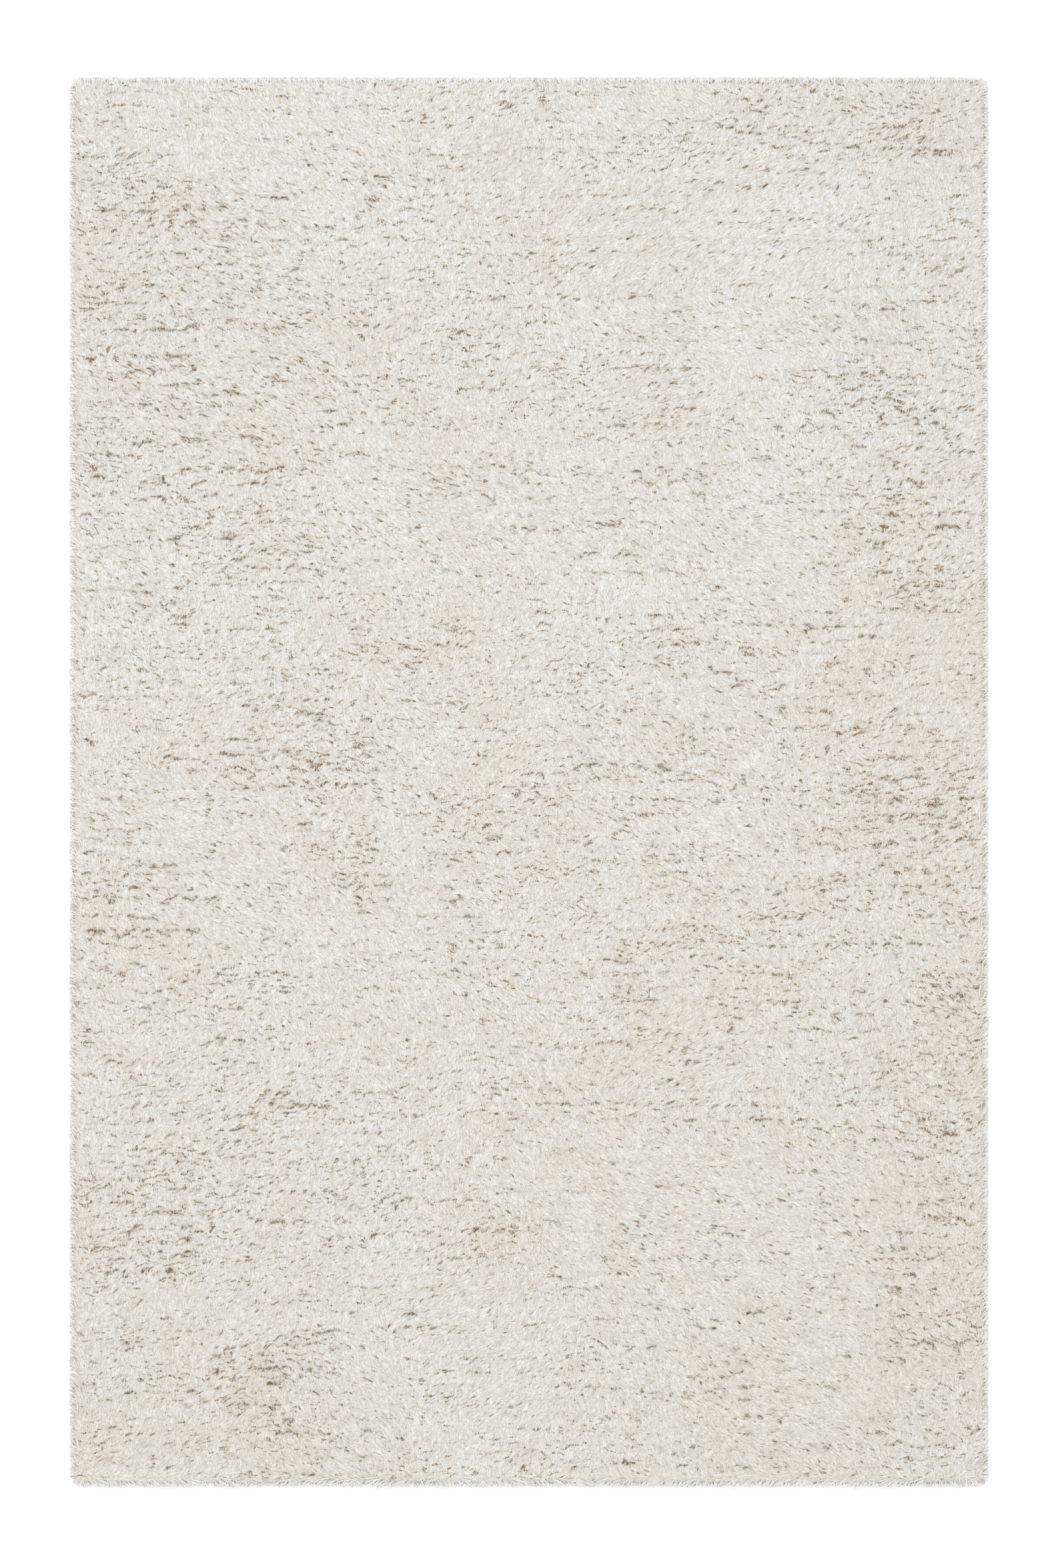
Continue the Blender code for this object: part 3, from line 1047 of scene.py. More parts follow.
def layStrands(material):
    kind = strands
    rng = np.random.default_rng(kind["seed"])
    sets = (fieldStrands(rng), rimStrands(rng), toothStrands(rng))
    yarns = {key: np.concatenate([part[key] for part in sets]) for key in sets[0]}
    nearEdge = np.clip(1 - edgeDistance(yarns["x"], yarns["y"]) / kind["edgeZone"], 0, 1)
    yarns["reach"] = yarns["reach"] * (1 - kind["shorterAtEdge"] * nearEdge)
    kept = keptBeforeGaps(yarns)
    yarns["reach"] = yarns["reach"] * kept
    count = kept.size
    width = between(kind["width"], rng.uniform(0, 1, count) ** kind["mostlyNarrow"])
    yarns["width"] = width * (0.7 + 0.3 * kept)
    paleness = tintAt(yarns["x"], yarns["y"], lieAt(yarns["x"], yarns["y"])[2])
    paleness = paleness + rng.uniform(-kind["ownTone"], kind["ownTone"], count)
    yarns["tone"] = np.clip(paleness, 0.01, 0.99)
    yarns["steepestNormal"] = np.full(count, kind["steepestNormal"])
    heights = []
    for t in (kind["rootPlace"], yarns["bendPlace"], 1.0):
        x, y = pathAt(yarns, t)
        openness = lieAt(x, y)[2]
        heights.append(surfaceAt(x, y, openness))
    yarns["rootZ"] = heights[0] - kind["rootSink"]
    yarns["midZ"] = heights[1] + rng.uniform(*kind["midLift"], count)
    yarns["rootZ"] = np.maximum(yarns["rootZ"], yarns["midZ"] - kind["steepest"])
    tipZ = np.maximum(heights[2], heights[1] - kind["tipSink"])
    yarns["tipZ"] = tipZ + rng.uniform(*kind["tipLift"], count)
    keep = (kept > kind["leastKept"]) & (edgeDistance(yarns["x"], yarns["y"]) > 0)
    yarns = {key: value[keep] for key, value in yarns.items()}
    order = np.argsort(yarns["y"], kind="stable")
    pieces = []
    for number, part in enumerate(np.array_split(order, kind["pieces"])):
        band = {key: value[part] for key, value in yarns.items()}
        pieces.append(yarnMesh("pile_strands_" + str(number + 1), band, kind, material))
    return pieces


edgeYarns = {
    "spacing": 0.44 * mm,
    "onTopShare": 0.57,  # yarns that lie on the pile and hang over; the others fill the side below
    "topRoot": (0.5 * mm, 13 * mm),  # how far inside the cloth's edge they start
    "sideRoot": (-0.5 * mm, 1.5 * mm),
    "topOut": (3.6 * mm, 4.8 * mm),  # how far past the edge they reach
    "sideOut": (1.4 * mm, 3.6 * mm),
    "topFall": (0.4 * mm, 2.6 * mm),  # how far they sink from root to tip
    "sideFall": (11 * mm, 19 * mm),
    "sideTop": 12 * mm,  # the highest side yarn ends this far below the crown
    "sideRootBelow": 4 * mm,  # no side yarn starts nearer the crown than this
    "sideLowest": 0.3 * mm,
    "mostlyLow": 1.3,  # above 1, more of the side yarns hang low
    "topRootSink": 0.6 * mm,
    "topTipSink": 2 * mm,
    "topMidLift": 0.3 * mm,
    "turnOut": 0.55,  # how far they turn from the lie of the pile to straight out
    "ownTurn": 0.35,
    "bend": 0.35,
    "topBend": 0.88,  # where along the yarn it starts to fall
    "sideBend": 0.6,
    "width": (1.8 * mm, 3.4 * mm),
    "sideWider": 1.9,
    "flatness": 0.2,
    "steepestNormal": 1.5,
    "steepestOnTop": 0.3,
    "roundness": 0.9,
    "clump": 0.8 * mm,  # how far whole tufts stand out more and less
    "clumpSize": 13 * mm,
    "toneWidth": 0.006,
    "ownTone": 0.2,
    # Where their roots start on the painted shade ramp: the side yarns below the overhang get more
    # painted shade.
    "topRootOnShadeRamp": 0.9,
    "sideRootOnShadeRamp": 0.6,
    "seed": 71,
}


def edgePoint(distance):
    # A point on the cloth's edge and the way out from it, at this distance round the edge.
    radius = rug["cornerRadius"]
    cornerX = halfWidth - radius
    cornerY = halfLength - radius
    quarterTurn = 0.5 * math.pi * radius
    sides = (
        (2 * cornerX, -90, -cornerX, -cornerY),
        (2 * cornerY, 0, cornerX, -cornerY),
        (2 * cornerX, 90, cornerX, cornerY),
        (2 * cornerY, 180, -cornerX, cornerY),
    )
    for length, degrees, startX, startY in sides:
        out = math.radians(degrees)
        if distance <= length:
            x = startX + distance * -math.sin(out)
            y = startY + distance * math.cos(out)
            break
        distance -= length
        x = startX - length * math.sin(out)
        y = startY + length * math.cos(out)
        if distance <= quarterTurn:
            out = math.radians(degrees + 90 * distance / quarterTurn)
            break
        distance -= quarterTurn
    return x + radius * math.cos(out), y + radius * math.sin(out), out


def layEdge(kind, material):
    rng = np.random.default_rng(kind["seed"])
    radius = rug["cornerRadius"]
    around = 4 * (halfWidth - radius) + 4 * (halfLength - radius) + 2 * math.pi * radius
    count = int(around / kind["spacing"])
    places = np.array([edgePoint(around * (k + 0.5) / count) for k in range(count)])
    onTop = rng.uniform(0, 1, count) < kind["onTopShare"]
    topInward = rng.uniform(*kind["topRoot"], count)
    inward = np.where(onTop, topInward, rng.uniform(*kind["sideRoot"], count))
    out = places[:, 2]
    x = places[:, 0] - inward * np.cos(out)
    y = places[:, 1] - inward * np.sin(out)
    heading, _, openness = lieAt(x, y)
    toX = kind["turnOut"] * np.cos(out) + (1 - kind["turnOut"]) * np.cos(heading)
    toY = kind["turnOut"] * np.sin(out) + (1 - kind["turnOut"]) * np.sin(heading)
    aim = np.arctan2(toY, toX) + kind["ownTurn"] * rng.normal(0, 1, count)
    clump = kind["clump"] * softNoise(x, y, kind["clumpSize"], 72)
    topOut = rng.uniform(*kind["topOut"], count)
    stand = np.where(onTop, topOut, rng.uniform(*kind["sideOut"], count)) + clump
    lying = surfaceAt(x, y, openness)
    level = rng.uniform(0, 1, count) ** kind["mostlyLow"]
    sideTip = kind["sideLowest"] + (crown - kind["sideTop"]) * level
    topTip = lying + surface["below"] - kind["topTipSink"] - rng.uniform(*kind["topFall"], count)
    tipZ = np.where(onTop, topTip, sideTip)
    sideRootZ = sideTip + rng.uniform(*kind["sideFall"], count)
    sideRootZ = np.minimum(sideRootZ, crown - kind["sideRootBelow"])
    rootZ = np.where(onTop, lying - kind["topRootSink"], sideRootZ)
    yarns = {
        "x": x,
        "y": y,
        "heading": aim,
        "curl": rng.uniform(-kind["bend"], kind["bend"], count),
        "reach": (inward + stand) / np.clip(np.cos(aim - out), 0.5, 1),
        "width": rng.uniform(*kind["width"], count) * np.where(onTop, 1, kind["sideWider"]),
        "rootZ": rootZ,
        "midZ": np.where(onTop, np.maximum(rootZ, tipZ) + kind["topMidLift"], 0.6 * rootZ + 0.4 * tipZ),
        "tipZ": tipZ,
        "tone": tintAt(x, y, openness) + rng.uniform(-kind["ownTone"], kind["ownTone"], count),
        "rootOnShadeRamp": np.where(onTop, kind["topRootOnShadeRamp"], kind["sideRootOnShadeRamp"]),
        "steepestNormal": np.where(onTop, kind["steepestOnTop"], kind["steepestNormal"]),
        "bendPlace": np.where(onTop, kind["topBend"], kind["sideBend"]),
    }
    yarns["tone"] = np.clip(yarns["tone"], 0.01, 0.99)
    kept = np.ones(count)
    for t in np.linspace(1, 0.1, 19):  # none passes the place where it should stand out to
        pastEdge = -edgeDistance(*pathAt(yarns, t))
        kept = np.where(pastEdge > stand, t, kept)
    yarns["reach"] = yarns["reach"] * kept
    return yarnMesh("pile_edge", yarns, kind, material)


def makeCloth(material):
    # A closed slab with rounded corners, cut into cells.
    bm = bmesh.new()
    bmesh.ops.create_grid(bm, x_segments=1, y_segments=1, size=0.5)
    bmesh.ops.scale(bm, vec=(2 * halfWidth, 2 * halfLength, 1), verts=bm.verts)
    bmesh.ops.bevel(
        bm, geom=bm.verts[:], offset=rug["cornerRadius"], offset_type="OFFSET",
        segments=5, profile=0.5, affect="VERTICES", material=-1,
    )
    for axis, half in enumerate((halfWidth, halfLength)):
        normal = [0, 0, 0]
        normal[axis] = 1
        cells = rug["clothCells"][axis]
        for cut in range(1, cells):
            point = [0, 0, 0]
            point[axis] = half * (2 * cut / cells - 1)
            geometry = bm.verts[:] + bm.edges[:] + bm.faces[:]
            bmesh.ops.bisect_plane(bm, geom=geometry, plane_co=point, plane_no=normal)
    top = bmesh.ops.extrude_face_region(bm, geom=bm.faces[:], use_keep_orig=True)["geom"]
    topVerts = [item for item in top if isinstance(item, bmesh.types.BMVert)]
    bmesh.ops.translate(bm, vec=(0, 0, rug["clothThickness"]), verts=topVerts)
    bmesh.ops.recalc_face_normals(bm, faces=bm.faces)
    mesh = bpy.data.meshes.new("ground_cloth")
    bm.to_mesh(mesh)
    bm.free()
    print("ground_cloth", len(mesh.polygons), "faces")
    return addObject("ground_cloth", mesh, material, smooth=False)


colours = {
    # root, shank, between, shadow and deep are painted shade: brown down among the yarns, between the
    # wisps and in the gaps.
    "root": (0.21, 0.145, 0.088),
    "shank": (0.60, 0.505, 0.40),
    "body": (0.90, 0.878, 0.842),
    "tip": (0.962, 0.953, 0.932),
    "packed": (0.962, 0.954, 0.934),
    "between": (0.735, 0.690, 0.628),
    "shadow": (0.45, 0.37, 0.288),
    "deep": (0.25, 0.18, 0.115),
    "shade": (0.955, 0.943, 0.922),  # this and the next two are laid over the others
    "light": (1.0, 1.0, 1.0),
    "yellower": (0.967, 0.938, 0.900),
    "thread": (0.86, 0.82, 0.75),
    "threadShade": (0.66, 0.60, 0.50),
}


def newMaterial(name):
    material = bpy.data.materials.new(name)
    material.use_nodes = True
    return material, material.node_tree


def feed(tree, node, inputs):
    # Gives each named input its value, or joins it to the output that leads to it.
    for key, value in inputs.items():
        if isinstance(value, bpy.types.NodeSocket):
            tree.links.new(value, node.inputs[key])
        else:
            node.inputs[key].default_value = value


def shade(tree, inputs):
    feed(tree, tree.nodes["Principled BSDF"], inputs)


def addNode(tree, kind, place, inputs, **settings):
    node = tree.nodes.new("ShaderNode" + kind)
    node.location = place
    for key, value in settings.items():
        setattr(node, key, value)
    feed(tree, node, inputs)
    return node


def scalarMath(tree, operation, place, *values):
    return addNode(tree, "Math", place, dict(enumerate(values)), operation=operation).outputs[0]


def vectorMath(tree, operation, place, first, second):
    node = addNode(tree, "VectorMath", place, {0: first, 1: second}, operation=operation)
    return node.outputs["Value" if operation == "DOT_PRODUCT" else "Vector"]


def addNoise(tree, place, vector, scale, detail, roughness=0.5, dimensions="2D"):
    inputs = {"Vector": vector, "Scale": scale, "Detail": detail, "Roughness": roughness}
    return addNode(tree, "TexNoise", place, inputs, noise_dimensions=dimensions).outputs


def colourRamp(tree, place, value, stops):
    # Stops are pairs of a place on the ramp and the name of its colour.
    node = addNode(tree, "ValToRGB", place, {"Fac": value})
    elements = node.color_ramp.elements
    while len(elements) < len(stops):
        elements.new(0.5)
    for element, (position, name) in zip(elements, stops):
        element.position = position
        element.color = (*colours[name], 1)
    return node.outputs["Color"]


def multiplied(tree, place, first, second):
    inputs = {"Factor": 1.0, "A": first, "B": second}
    return addNode(tree, "Mix", place, inputs, data_type="RGBA", blend_type="MULTIPLY").outputs["Result"]


def startGroup(name, inputs, outputs, ends):
    # A node group with these inputs and outputs. Its own two nodes stand at the two ends.
    group = bpy.data.node_groups.new(name, "ShaderNodeTree")
    for way, sockets in (("INPUT", inputs), ("OUTPUT", outputs)):
        for label, kind in sockets.items():
            group.interface.new_socket(label, in_out=way, socket_type="NodeSocket" + kind)
    source = group.nodes.new("NodeGroupInput")
    sink = group.nodes.new("NodeGroupOutput")
    source.location.x, sink.location.x = ends
    return group, source.outputs, sink


fibreStreaks = {
    "coarse": (1.0, 2.0),  # scale and detail
    "fine": (3.1, 1.0),
}


def fibreGroup():
    # Wool fibres along a yarn: a grey streak value and a height, from the yarn's own UV map.
    group, given, sink = startGroup(
        "wool fibres", {"Vector": "Vector", "Fibres": "Float", "Waviness": "Float"},
        {"Streak": "Float", "Height": "Float"}, (-900, 120),
    )
    split = addNode(group, "SeparateXYZ", (-720, 0), {0: given["Vector"]}).outputs
    spread = scalarMath(group, "MULTIPLY", (-540, 120), split["X"], given["Fibres"])
    stretch = scalarMath(group, "MULTIPLY", (-540, -60), split["Y"], given["Waviness"])
    joined = addNode(group, "CombineXYZ", (-360, 40), {"X": spread, "Y": stretch}).outputs[0]
    coarse = addNoise(group, (-180, 120), joined, *fibreStreaks["coarse"])
    fine = addNoise(group, (-180, -120), joined, *fibreStreaks["fine"])
    feed(group, sink, {"Streak": coarse["Fac"], "Height": fine["Fac"]})
    return group


def tintGroup():
    # The slow change from yellower to paler wool over the rug.
    group, given, sink = startGroup(
        "wool tint", {"Tint": "Float", "Colour": "Color"}, {"Colour": "Color"}, (-600, 120),
    )
    over = colourRamp(group, (-400, 100), given["Tint"], ((0.02, "yellower"), (0.98, "light")))
    feed(group, sink, {"Colour": multiplied(group, (-100, 0), given["Colour"], over)})
    return group


woolFinish = {
    "sheen": 0.15,
    "sheenRoughness": 0.6,
    "specular": 0.25,
}


def finishWool(tree, kind, tint, tone, colour, grain, height):
    # Tints the colour, and gives the wool its roughness, its fine relief and a soft sheen.
    inputs = {"Tint": tone, "Colour": colour}
    tinted = addNode(tree, "Group", (-240, 160), inputs, node_tree=tint)
    low, high = kind["roughness"]
    rough = addNode(tree, "MapRange", (-440, -120), {"Value": grain, "To Min": low, "To Max": high})
    strength, depth = kind["bump"]
    inputs = {"Strength": strength, "Distance": depth, "Height": height}
    bump = addNode(tree, "Bump", (-440, -380), inputs)
    shade(tree, {
        "Base Color": tinted.outputs["Colour"],
        "Roughness": rough.outputs["Result"],
        "Normal": bump.outputs["Normal"],
        "Sheen Weight": woolFinish["sheen"],
        "Sheen Roughness": woolFinish["sheenRoughness"],
        "Specular IOR Level": woolFinish["specular"],
    })


strandWool = {
    "fibresPerTone": 150,
    "waviness": 1.5,
    "shadeAlongYarn": ((0.04, "root"), (0.17, "shank"), (0.36, "body"), (0.80, "tip")),
    # The streaks are painted shade between the fibres where they are darkest, and the fibres' own paler
    # and darker tone above that.
    "streaks": ((0.29, "between"), (0.47, "shade"), (0.62, "light")),
    "roughness": (0.72, 0.95),
    "bump": (0.3, 0.4 * mm),  # strength and depth
}


def strandMaterial(fibres, tint):
    # Cream wool with painted shade: brown at the root, cream along the yarn, palest at the end, darker
    # between its fine streaks.
    kind = strandWool
    material, tree = newMaterial("wool strands")
    uv = addNode(tree, "UVMap", (-1300, 0), {}, uv_map="OFBake").outputs["UV"]
    inputs = {"Vector": uv, "Fibres": kind["fibresPerTone"], "Waviness": kind["waviness"]}
    fibre = addNode(tree, "Group", (-1000, -160), inputs, node_tree=fibres).outputs
    split = addNode(tree, "SeparateXYZ", (-1000, 160), {0: uv}).outputs
    shadeAlongYarn = colourRamp(tree, (-760, 260), split["Y"], kind["shadeAlongYarn"])
    streaks = colourRamp(tree, (-760, -60), fibre["Streak"], kind["streaks"])
    colour = multiplied(tree, (-440, 160), shadeAlongYarn, streaks)
    finishWool(tree, kind, tint, split["X"], colour, fibre["Height"], fibre["Height"])
    return material


weave = {
    "threadWidth": 2.2 * mm,
    "slubs": (140, 4),
    "threadHeight": 0.5,  # how much the threads count in the bump, beside the slubs
    # The weave's colour is painted shade: darker in the low dips between threads, the thread's colour on
    # top.
    "tones": ((0.1, "threadShade"), (0.9, "thread")),
    "bump": (0.6, 0.5 * mm),
    "roughness": 0.9,
}


def weaveMaterial():
    # The natural cotton ground cloth: a plain weave with slubs.
    material, tree = newMaterial("woven ground cloth")
    position = addNode(tree, "TexCoord", (-1300, 0), {}).outputs["Object"]
    split = addNode(tree, "SeparateXYZ", (-1100, 0), {0: position}).outputs
    threads = []
    for number, axis in enumerate("XY"):
        level = 200 - 240 * number
        turn = scalarMath(tree, "MULTIPLY", (-900, level), split[axis], math.pi / weave["threadWidth"])
        threads.append(scalarMath(tree, "SINE", (-720, level), turn))
    crossing = scalarMath(tree, "MULTIPLY", (-540, 80), *threads)
    slubs = addNoise(tree, (-720, -320), position, *weave["slubs"], dimensions="3D")
    height = scalarMath(tree, "MULTIPLY_ADD", (-340, 0), crossing, weave["threadHeight"], slubs["Fac"])
    strength, depth = weave["bump"]
    inputs = {"Strength": strength, "Distance": depth, "Height": height}
    bump = addNode(tree, "Bump", (-140, -200), inputs)
    shade(tree, {
        "Base Color": colourRamp(tree, (-140, 200), height, weave["tones"]),
        "Normal": bump.outputs["Normal"],
        "Roughness": weave["roughness"],
    })
    return material


combedFibres = {
    "directions": 8,
    "sharpness": 8,  # how firmly the nearest direction wins
    "wispPerMetre": (48, 215),  # along the yarn and across it
    "finePerMetre": (85, 420),
    "foldDirections": (-36, -12, 12, 36),
    "foldPerMetre": (58, 220),
    "detail": (1.5, 0.6),
    "waver": 0.0042,  # how far the wisps stray from straight
    "waverPerMetre": 90,
    "downSides": 0.8,  # how far the pattern runs on for each metre down the rug's sides
}


def combedNoise(tree, position, angle, perMetre, place):
    # Noise stretched one way along a fixed direction and another way across it.
    along, across = perMetre
    wayAlong = (along * math.cos(angle), along * math.sin(angle), 0.0)
    wayAcross = (-across * math.sin(angle), across * math.cos(angle), 0.0)
    column, level = place
    u = vectorMath(tree, "DOT_PRODUCT", (column, level), position, wayAlong)
    v = vectorMath(tree, "DOT_PRODUCT", (column, level - 140), position, wayAcross)
    joined = addNode(tree, "CombineXYZ", (column + 180, level), {"X": u, "Y": v}).outputs[0]
    return addNoise(tree, (column + 360, level), joined, 1, *combedFibres["detail"])["Fac"]


def blendDirections(tree, position, lean, angles, patterns, start):
    # Each pattern, given by how often it repeats in a metre along and across, drawn in fixed
    # directions, of which the lean vector picks the nearest.
    sums = [0.0] * len(patterns)
    weights = 0.0
    for number, angle in enumerate(angles):
        level = start - 620 * number
        twice = (math.cos(2 * angle), math.sin(2 * angle), 0.0)
        match = vectorMath(tree, "DOT_PRODUCT", (-860, level), lean, twice)
        match = scalarMath(tree, "MAXIMUM", (-700, level), match, 0.0)
        weight = scalarMath(tree, "POWER", (-540, level), match, combedFibres["sharpness"])
        for slot, perMetre in enumerate(patterns):
            noise = combedNoise(tree, position, angle, perMetre, (-860, level - 160 - 220 * slot))
            place = (-200, level - 160 * slot)
            sums[slot] = scalarMath(tree, "MULTIPLY_ADD", place, noise, weight, sums[slot])
        weights = scalarMath(tree, "ADD", (-40, level), weight, weights)
    return [scalarMath(tree, "DIVIDE", (160, start), value, weights) for value in sums]


def combedGroup():
    # Wisps and fine streaks of wool that follow the way the pile is combed, and folds. The combed
    # and folded vectors hold the cosine and sine of twice an angle.
    kind = combedFibres
    group, given, sink = startGroup(
        "combed wool", {"Position": "Vector", "Combed": "Vector", "Folded": "Vector"},
        {"Wisp": "Float", "Fine": "Float", "Fold": "Float"}, (-1600, 340),
    )
    waver = addNoise(group, (-1400, 200), given["Position"], kind["waverPerMetre"], 1)["Color"]
    size = (kind["waver"], kind["waver"], 0)
    pushed = vectorMath(group, "MULTIPLY", (-1200, 200), waver, size)
    level = vectorMath(group, "DOT_PRODUCT", (-1400, -100), given["Position"], (0.0, 0.0, 1.0))
    downSides = (kind["downSides"], kind["downSides"], 0.0)
    sideways = vectorMath(group, "MULTIPLY", (-1200, -100), level, downSides)
    position = vectorMath(group, "ADD", (-1040, 100), given["Position"], pushed)
    position = vectorMath(group, "ADD", (-1040, -60), position, sideways)
    turns = [math.pi * number / kind["directions"] for number in range(kind["directions"])]
    patterns = (kind["wispPerMetre"], kind["finePerMetre"])
    wisp, fine = blendDirections(group, position, given["Combed"], turns, patterns, 2000)
    turns = [math.radians(angle) for angle in kind["foldDirections"]]
    patterns = (kind["foldPerMetre"],)
    fold = blendDirections(group, position, given["Folded"], turns, patterns, -3400)[0]
    feed(group, sink, {"Wisp": wisp, "Fine": fine, "Fold": fold})
    return group


openings = {
    "edge": (0.47, 0.50, 0.565),  # a wisp's sharp edge, its deepest shade and where that ends
    "fineEdge": (0.465, 0.50, 0.555),
    "fineShare": 0.9,
    "fineInGaps": 0.45,
    "least": 0.22,  # how deep the shade between two wisps is where the pile is closed
    "level": 0.386,  # the fold value below which closed pile opens, and how much more open pile does
    "openLevel": 0.095,
    "softness": 0.13,
    "strokeLevel": 0.62,
    "strokeSoftness": 0.22,
    "besideShare": 0.24,  # how deep a fold or gap stays on top of its wisps
}


def partOfWay(tree, value, low, span, place):
    # How far the value is from low to low + span.
    column, level = place
    above = scalarMath(tree, "SUBTRACT", (column, level), value, low)
    return scalarMath(tree, "DIVIDE", (column + 160, level), above, span)


def sawtooth(tree, value, limits, place):
    # Rises sharply from the first limit to the second and sinks slowly to the third.
    low, top, end = limits
    column, level = place
    up = partOfWay(tree, value, low, top - low, place)
    down = partOfWay(tree, end, value, end - top, (column, level - 160))
    least = scalarMath(tree, "MINIMUM", (column + 320, level), up, down)
    return scalarMath(tree, "MAXIMUM", (column + 480, level), least, 0.0)


def clipped(tree, value, low, span, place):
    # The part of the way again, kept between 0 and 1.
    column, level = place
    part = partOfWay(tree, value, low, span, place)
    part = scalarMath(tree, "MAXIMUM", (column + 320, level), part, 0.0)
    return scalarMath(tree, "MINIMUM", (column + 480, level), part, 1.0)


def openingsGroup():
    # Where the packed pile stands open: 0 where it is closed, 1 down at the roots. There is a
    # little shade beside each wisp, more in the folds and most where the stroke value is high.
    kind = openings
    names = ("Wisp", "Fine", "Fold", "Stroke", "Openness")
    group, given, sink = startGroup(
        "openings in the pile", dict.fromkeys(names, "Float"), {"Opening": "Float"}, (-1400, 520),
    )
    # The opening value sets how deep the painted shade in the wool's colour is, and the bump.
    beside = sawtooth(group, given["Wisp"], kind["edge"], (-1200, 600))
    fine = sawtooth(group, given["Fine"], kind["fineEdge"], (-1200, 300))
    slight = scalarMath(group, "MULTIPLY", (-560, 300), fine, kind["fineShare"])
    slight = scalarMath(group, "MAXIMUM", (-400, 300), beside, slight)
    slight = scalarMath(group, "MULTIPLY", (-240, 300), slight, kind["least"])
    inGaps = scalarMath(group, "MULTIPLY", (-560, 500), fine, kind["fineInGaps"])
    inGaps = scalarMath(group, "MAXIMUM", (-400, 500), beside, inGaps)
    place = (-1200, 0)
    level = scalarMath(group, "MULTIPLY_ADD", place, given["Openness"], kind["openLevel"], kind["level"])
    below = scalarMath(group, "SUBTRACT", (-1040, 0), level, given["Fold"])
    folded = clipped(group, below, 0.0, kind["softness"], (-880, 0))
    torn = clipped(group, given["Stroke"], kind["strokeLevel"], kind["strokeSoftness"], (-880, -300))
    deep = scalarMath(group, "MAXIMUM", (-80, 0), folded, torn)
    least = kind["besideShare"]
    ragged = scalarMath(group, "MULTIPLY_ADD", (80, 200), inGaps, 1 - least, least)
    deep = scalarMath(group, "MULTIPLY", (240, 0), deep, ragged)
    feed(group, sink, {"Opening": scalarMath(group, "MAXIMUM", (400, 0), deep, slight)})
    return group


packedWool = {
    # Painted shade by opening: from the packed wool's own colour down to brown at the roots.
    "shadeInOpenings": ((0.0, "packed"), (0.16, "between"), (0.38, "shadow"), (0.64, "deep"), (0.88, "root")),
    "streaks": ((0.30, "light"), (0.60, "shade")),
    "roughness": (0.75, 0.98),
    "bump": (0.8, 1.0 * mm),
    "openingHeight": -0.5,  # how much openings and wisps count in the bump, beside the streaks
    "wispHeight": -1.0,
}


def attribute(tree, name, place):
    return addNode(tree, "Attribute", place, {}, attribute_name=name).outputs


def reliefMaterial(combed, opened, tint):
    # The packed pile: cream wool in combed wisps, with painted shade beside them and painted brown shade
    # where it opens between tufts.
    kind = packedWool
    material, tree = newMaterial("packed cream wool")
    inputs = {
        "Position": addNode(tree, "TexCoord", (-1500, 200), {}).outputs["Object"],
        "Combed": attribute(tree, "combed", (-1500, -60))["Vector"],
        "Folded": attribute(tree, "folded", (-1500, -260))["Vector"],
    }
    combing = addNode(tree, "Group", (-1260, 100), inputs, node_tree=combed).outputs
    inputs = {name: combing[name] for name in ("Wisp", "Fine", "Fold")}
    inputs["Stroke"] = attribute(tree, "stroke", (-1260, -460))["Fac"]
    inputs["Openness"] = attribute(tree, "openness", (-1260, -660))["Fac"]
    opening = addNode(tree, "Group", (-1040, -200), inputs, node_tree=opened).outputs["Opening"]
    shadeInOpenings = colourRamp(tree, (-760, -200), opening, kind["shadeInOpenings"])
    streaks = colourRamp(tree, (-760, 160), combing["Fine"], kind["streaks"])
    colour = multiplied(tree, (-440, 100), shadeInOpenings, streaks)
    fine = combing["Fine"]
    height = scalarMath(tree, "MULTIPLY_ADD", (-800, -440), opening, kind["openingHeight"], fine)
    height = scalarMath(tree, "MULTIPLY_ADD", (-640, -440), combing["Wisp"], kind["wispHeight"], height)
    tone = attribute(tree, "tint", (-440, 320))["Fac"]
    finishWool(tree, kind, tint, tone, colour, fine, height)
    return material


stage = {
    "floorSize": 14,
    "floorColour": (0.92, 0.92, 0.92, 1),
    "floorRoughness": 0.9,
    "floorGlow": 0.35,
    "lightColour": (0.985, 0.993, 1.0),
    "skyStrength": 0.615,
    "softboxSize": 4.0,
    "softboxPlace": (-0.25, 0.25, 5.0),
    "softboxTilt": (-3, -3, 0),  # in degrees
    "softboxPower": 117.5,
}

camera = {
    "metresPerPixel": 0.0009505,  # at the height of the yarn ends
    "imageHeight": 2351,
    "lens": 200,
    "sensor": 36,
    "farthest": 60,
    "centreX": -0.00855,
    "centreY": -0.00285,
}


def makeFloor():
    bm = bmesh.new()
    bmesh.ops.create_grid(bm, x_segments=1, y_segments=1, size=stage["floorSize"] / 2)
    mesh = bpy.data.meshes.new("floor")
    bm.to_mesh(mesh)
    bm.free()
    material, tree = newMaterial("pale floor")
    shade(tree, {
        "Base Color": stage["floorColour"],
        "Roughness": stage["floorRoughness"],
        "Emission Color": (1, 1, 1, 1),
        "Emission Strength": stage["floorGlow"],
    })
    floor = addObject("floor", mesh, material, smooth=False)


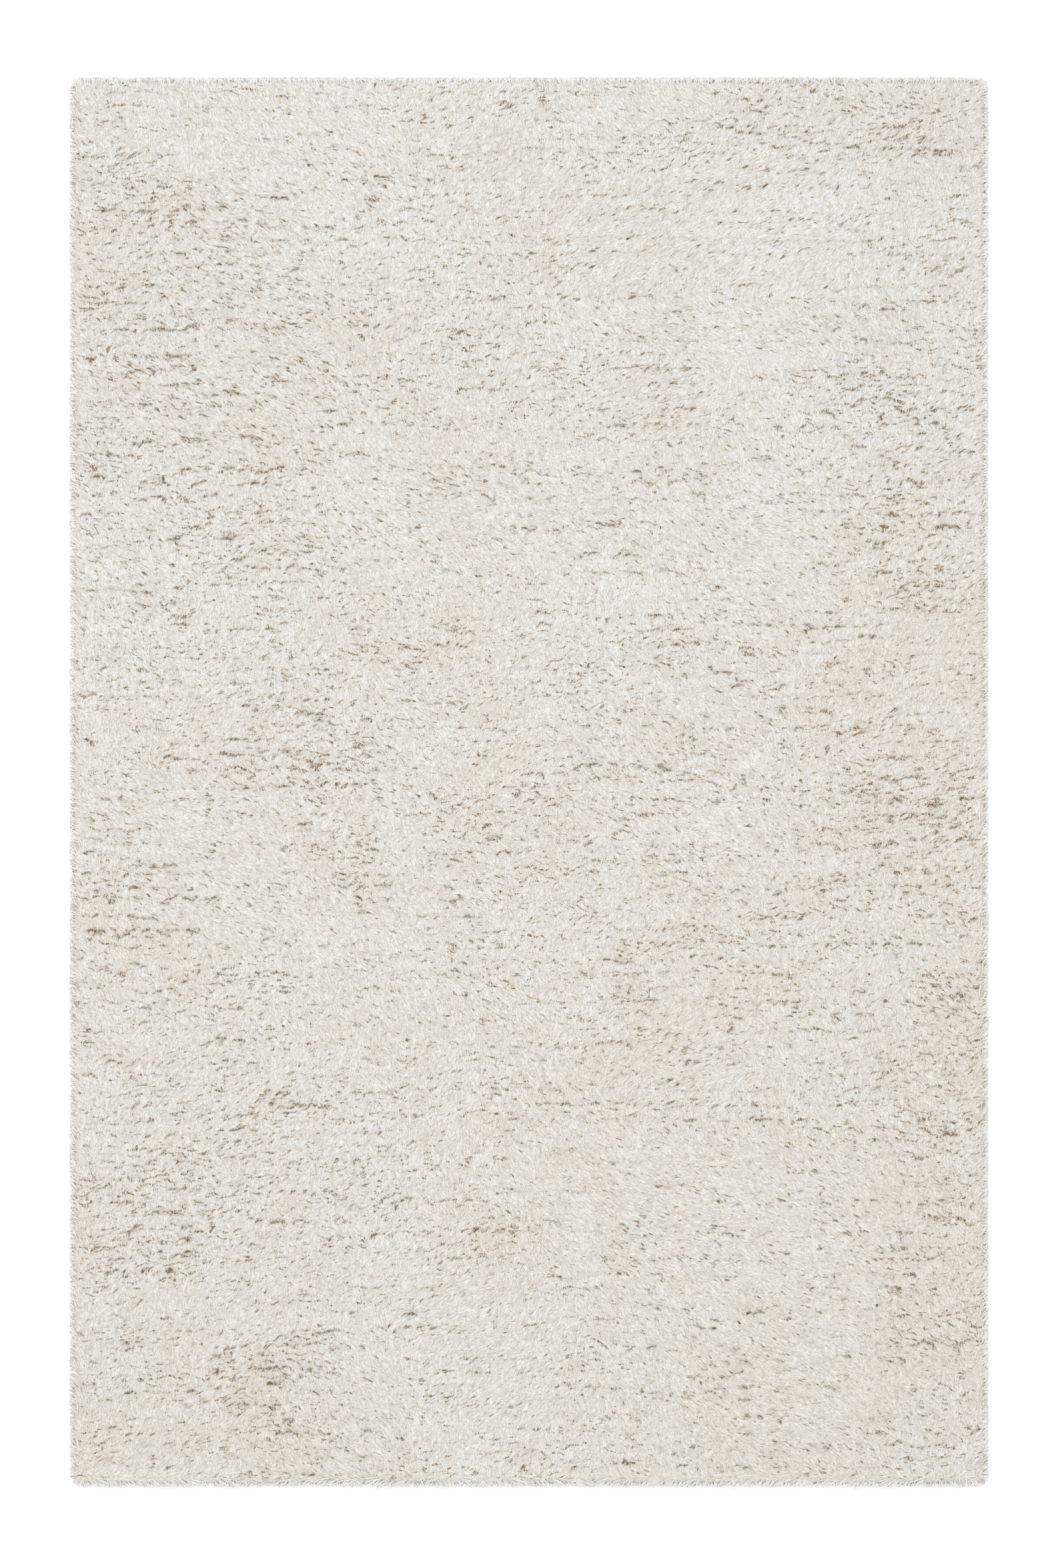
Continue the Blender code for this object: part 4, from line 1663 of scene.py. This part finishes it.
def makeLight():
    world = bpy.data.worlds.new("studio")
    world.use_nodes = True
    sky = world.node_tree.nodes["Background"]
    sky.inputs["Color"].default_value = (*stage["lightColour"], 1)
    sky.inputs["Strength"].default_value = stage["skyStrength"]
    bpy.context.scene.world = world
    lamp = bpy.data.lights.new("softbox", "AREA")
    lamp.shape = "SQUARE"
    lamp.size = stage["softboxSize"]
    lamp.energy = stage["softboxPower"]
    lamp.color = stage["lightColour"]
    softbox = bpy.data.objects.new("softbox", lamp)
    softbox.location = stage["softboxPlace"]
    softbox.rotation_euler = [math.radians(angle) for angle in stage["softboxTilt"]]
    bpy.context.scene.collection.objects.link(softbox)


def makeCamera():
    lens = bpy.data.cameras.new("camera")
    lens.lens = camera["lens"]
    lens.sensor_width = camera["sensor"]
    lens.clip_end = camera["farthest"]
    frameHeight = camera["metresPerPixel"] * camera["imageHeight"]
    distance = frameHeight * camera["lens"] / camera["sensor"]
    viewer = bpy.data.objects.new("camera", lens)
    viewer.location = (camera["centreX"], camera["centreY"], crown + distance)
    bpy.context.scene.collection.objects.link(viewer)
    bpy.context.scene.camera = viewer
    bpy.context.scene.view_settings.view_transform = "Standard"


layTufts()
openLongRows()
hollowMap = smoothMap(hollowMap)
swellMap = smoothMap(swellMap)
strokeMap = smoothMap(strokeMap)
print("gaps between tufts:", len(gaps))
woolTint = tintGroup()
strandPaint = strandMaterial(fibreGroup(), woolTint)
reliefPaint = reliefMaterial(combedGroup(), openingsGroup(), woolTint)
print("materials ready")
cloth = makeCloth(weaveMaterial())
reliefBands = [makeReliefBand(number, reliefPaint) for number in range(relief["bands"])]
strandBands = layStrands(strandPaint)
hangingEdge = layEdge(edgeYarns, strandPaint)
pile = [*reliefBands, *strandBands, hangingEdge]

triangleCount = 0
for piece in [cloth, *pile]:
    triangleCount += len(piece.data.loops) - 2 * len(piece.data.polygons)
    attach(piece, "root")
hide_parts("rug")
makeFloor()
makeLight()
makeCamera()
print("floor, light and camera ready;", triangleCount, "triangles in all")
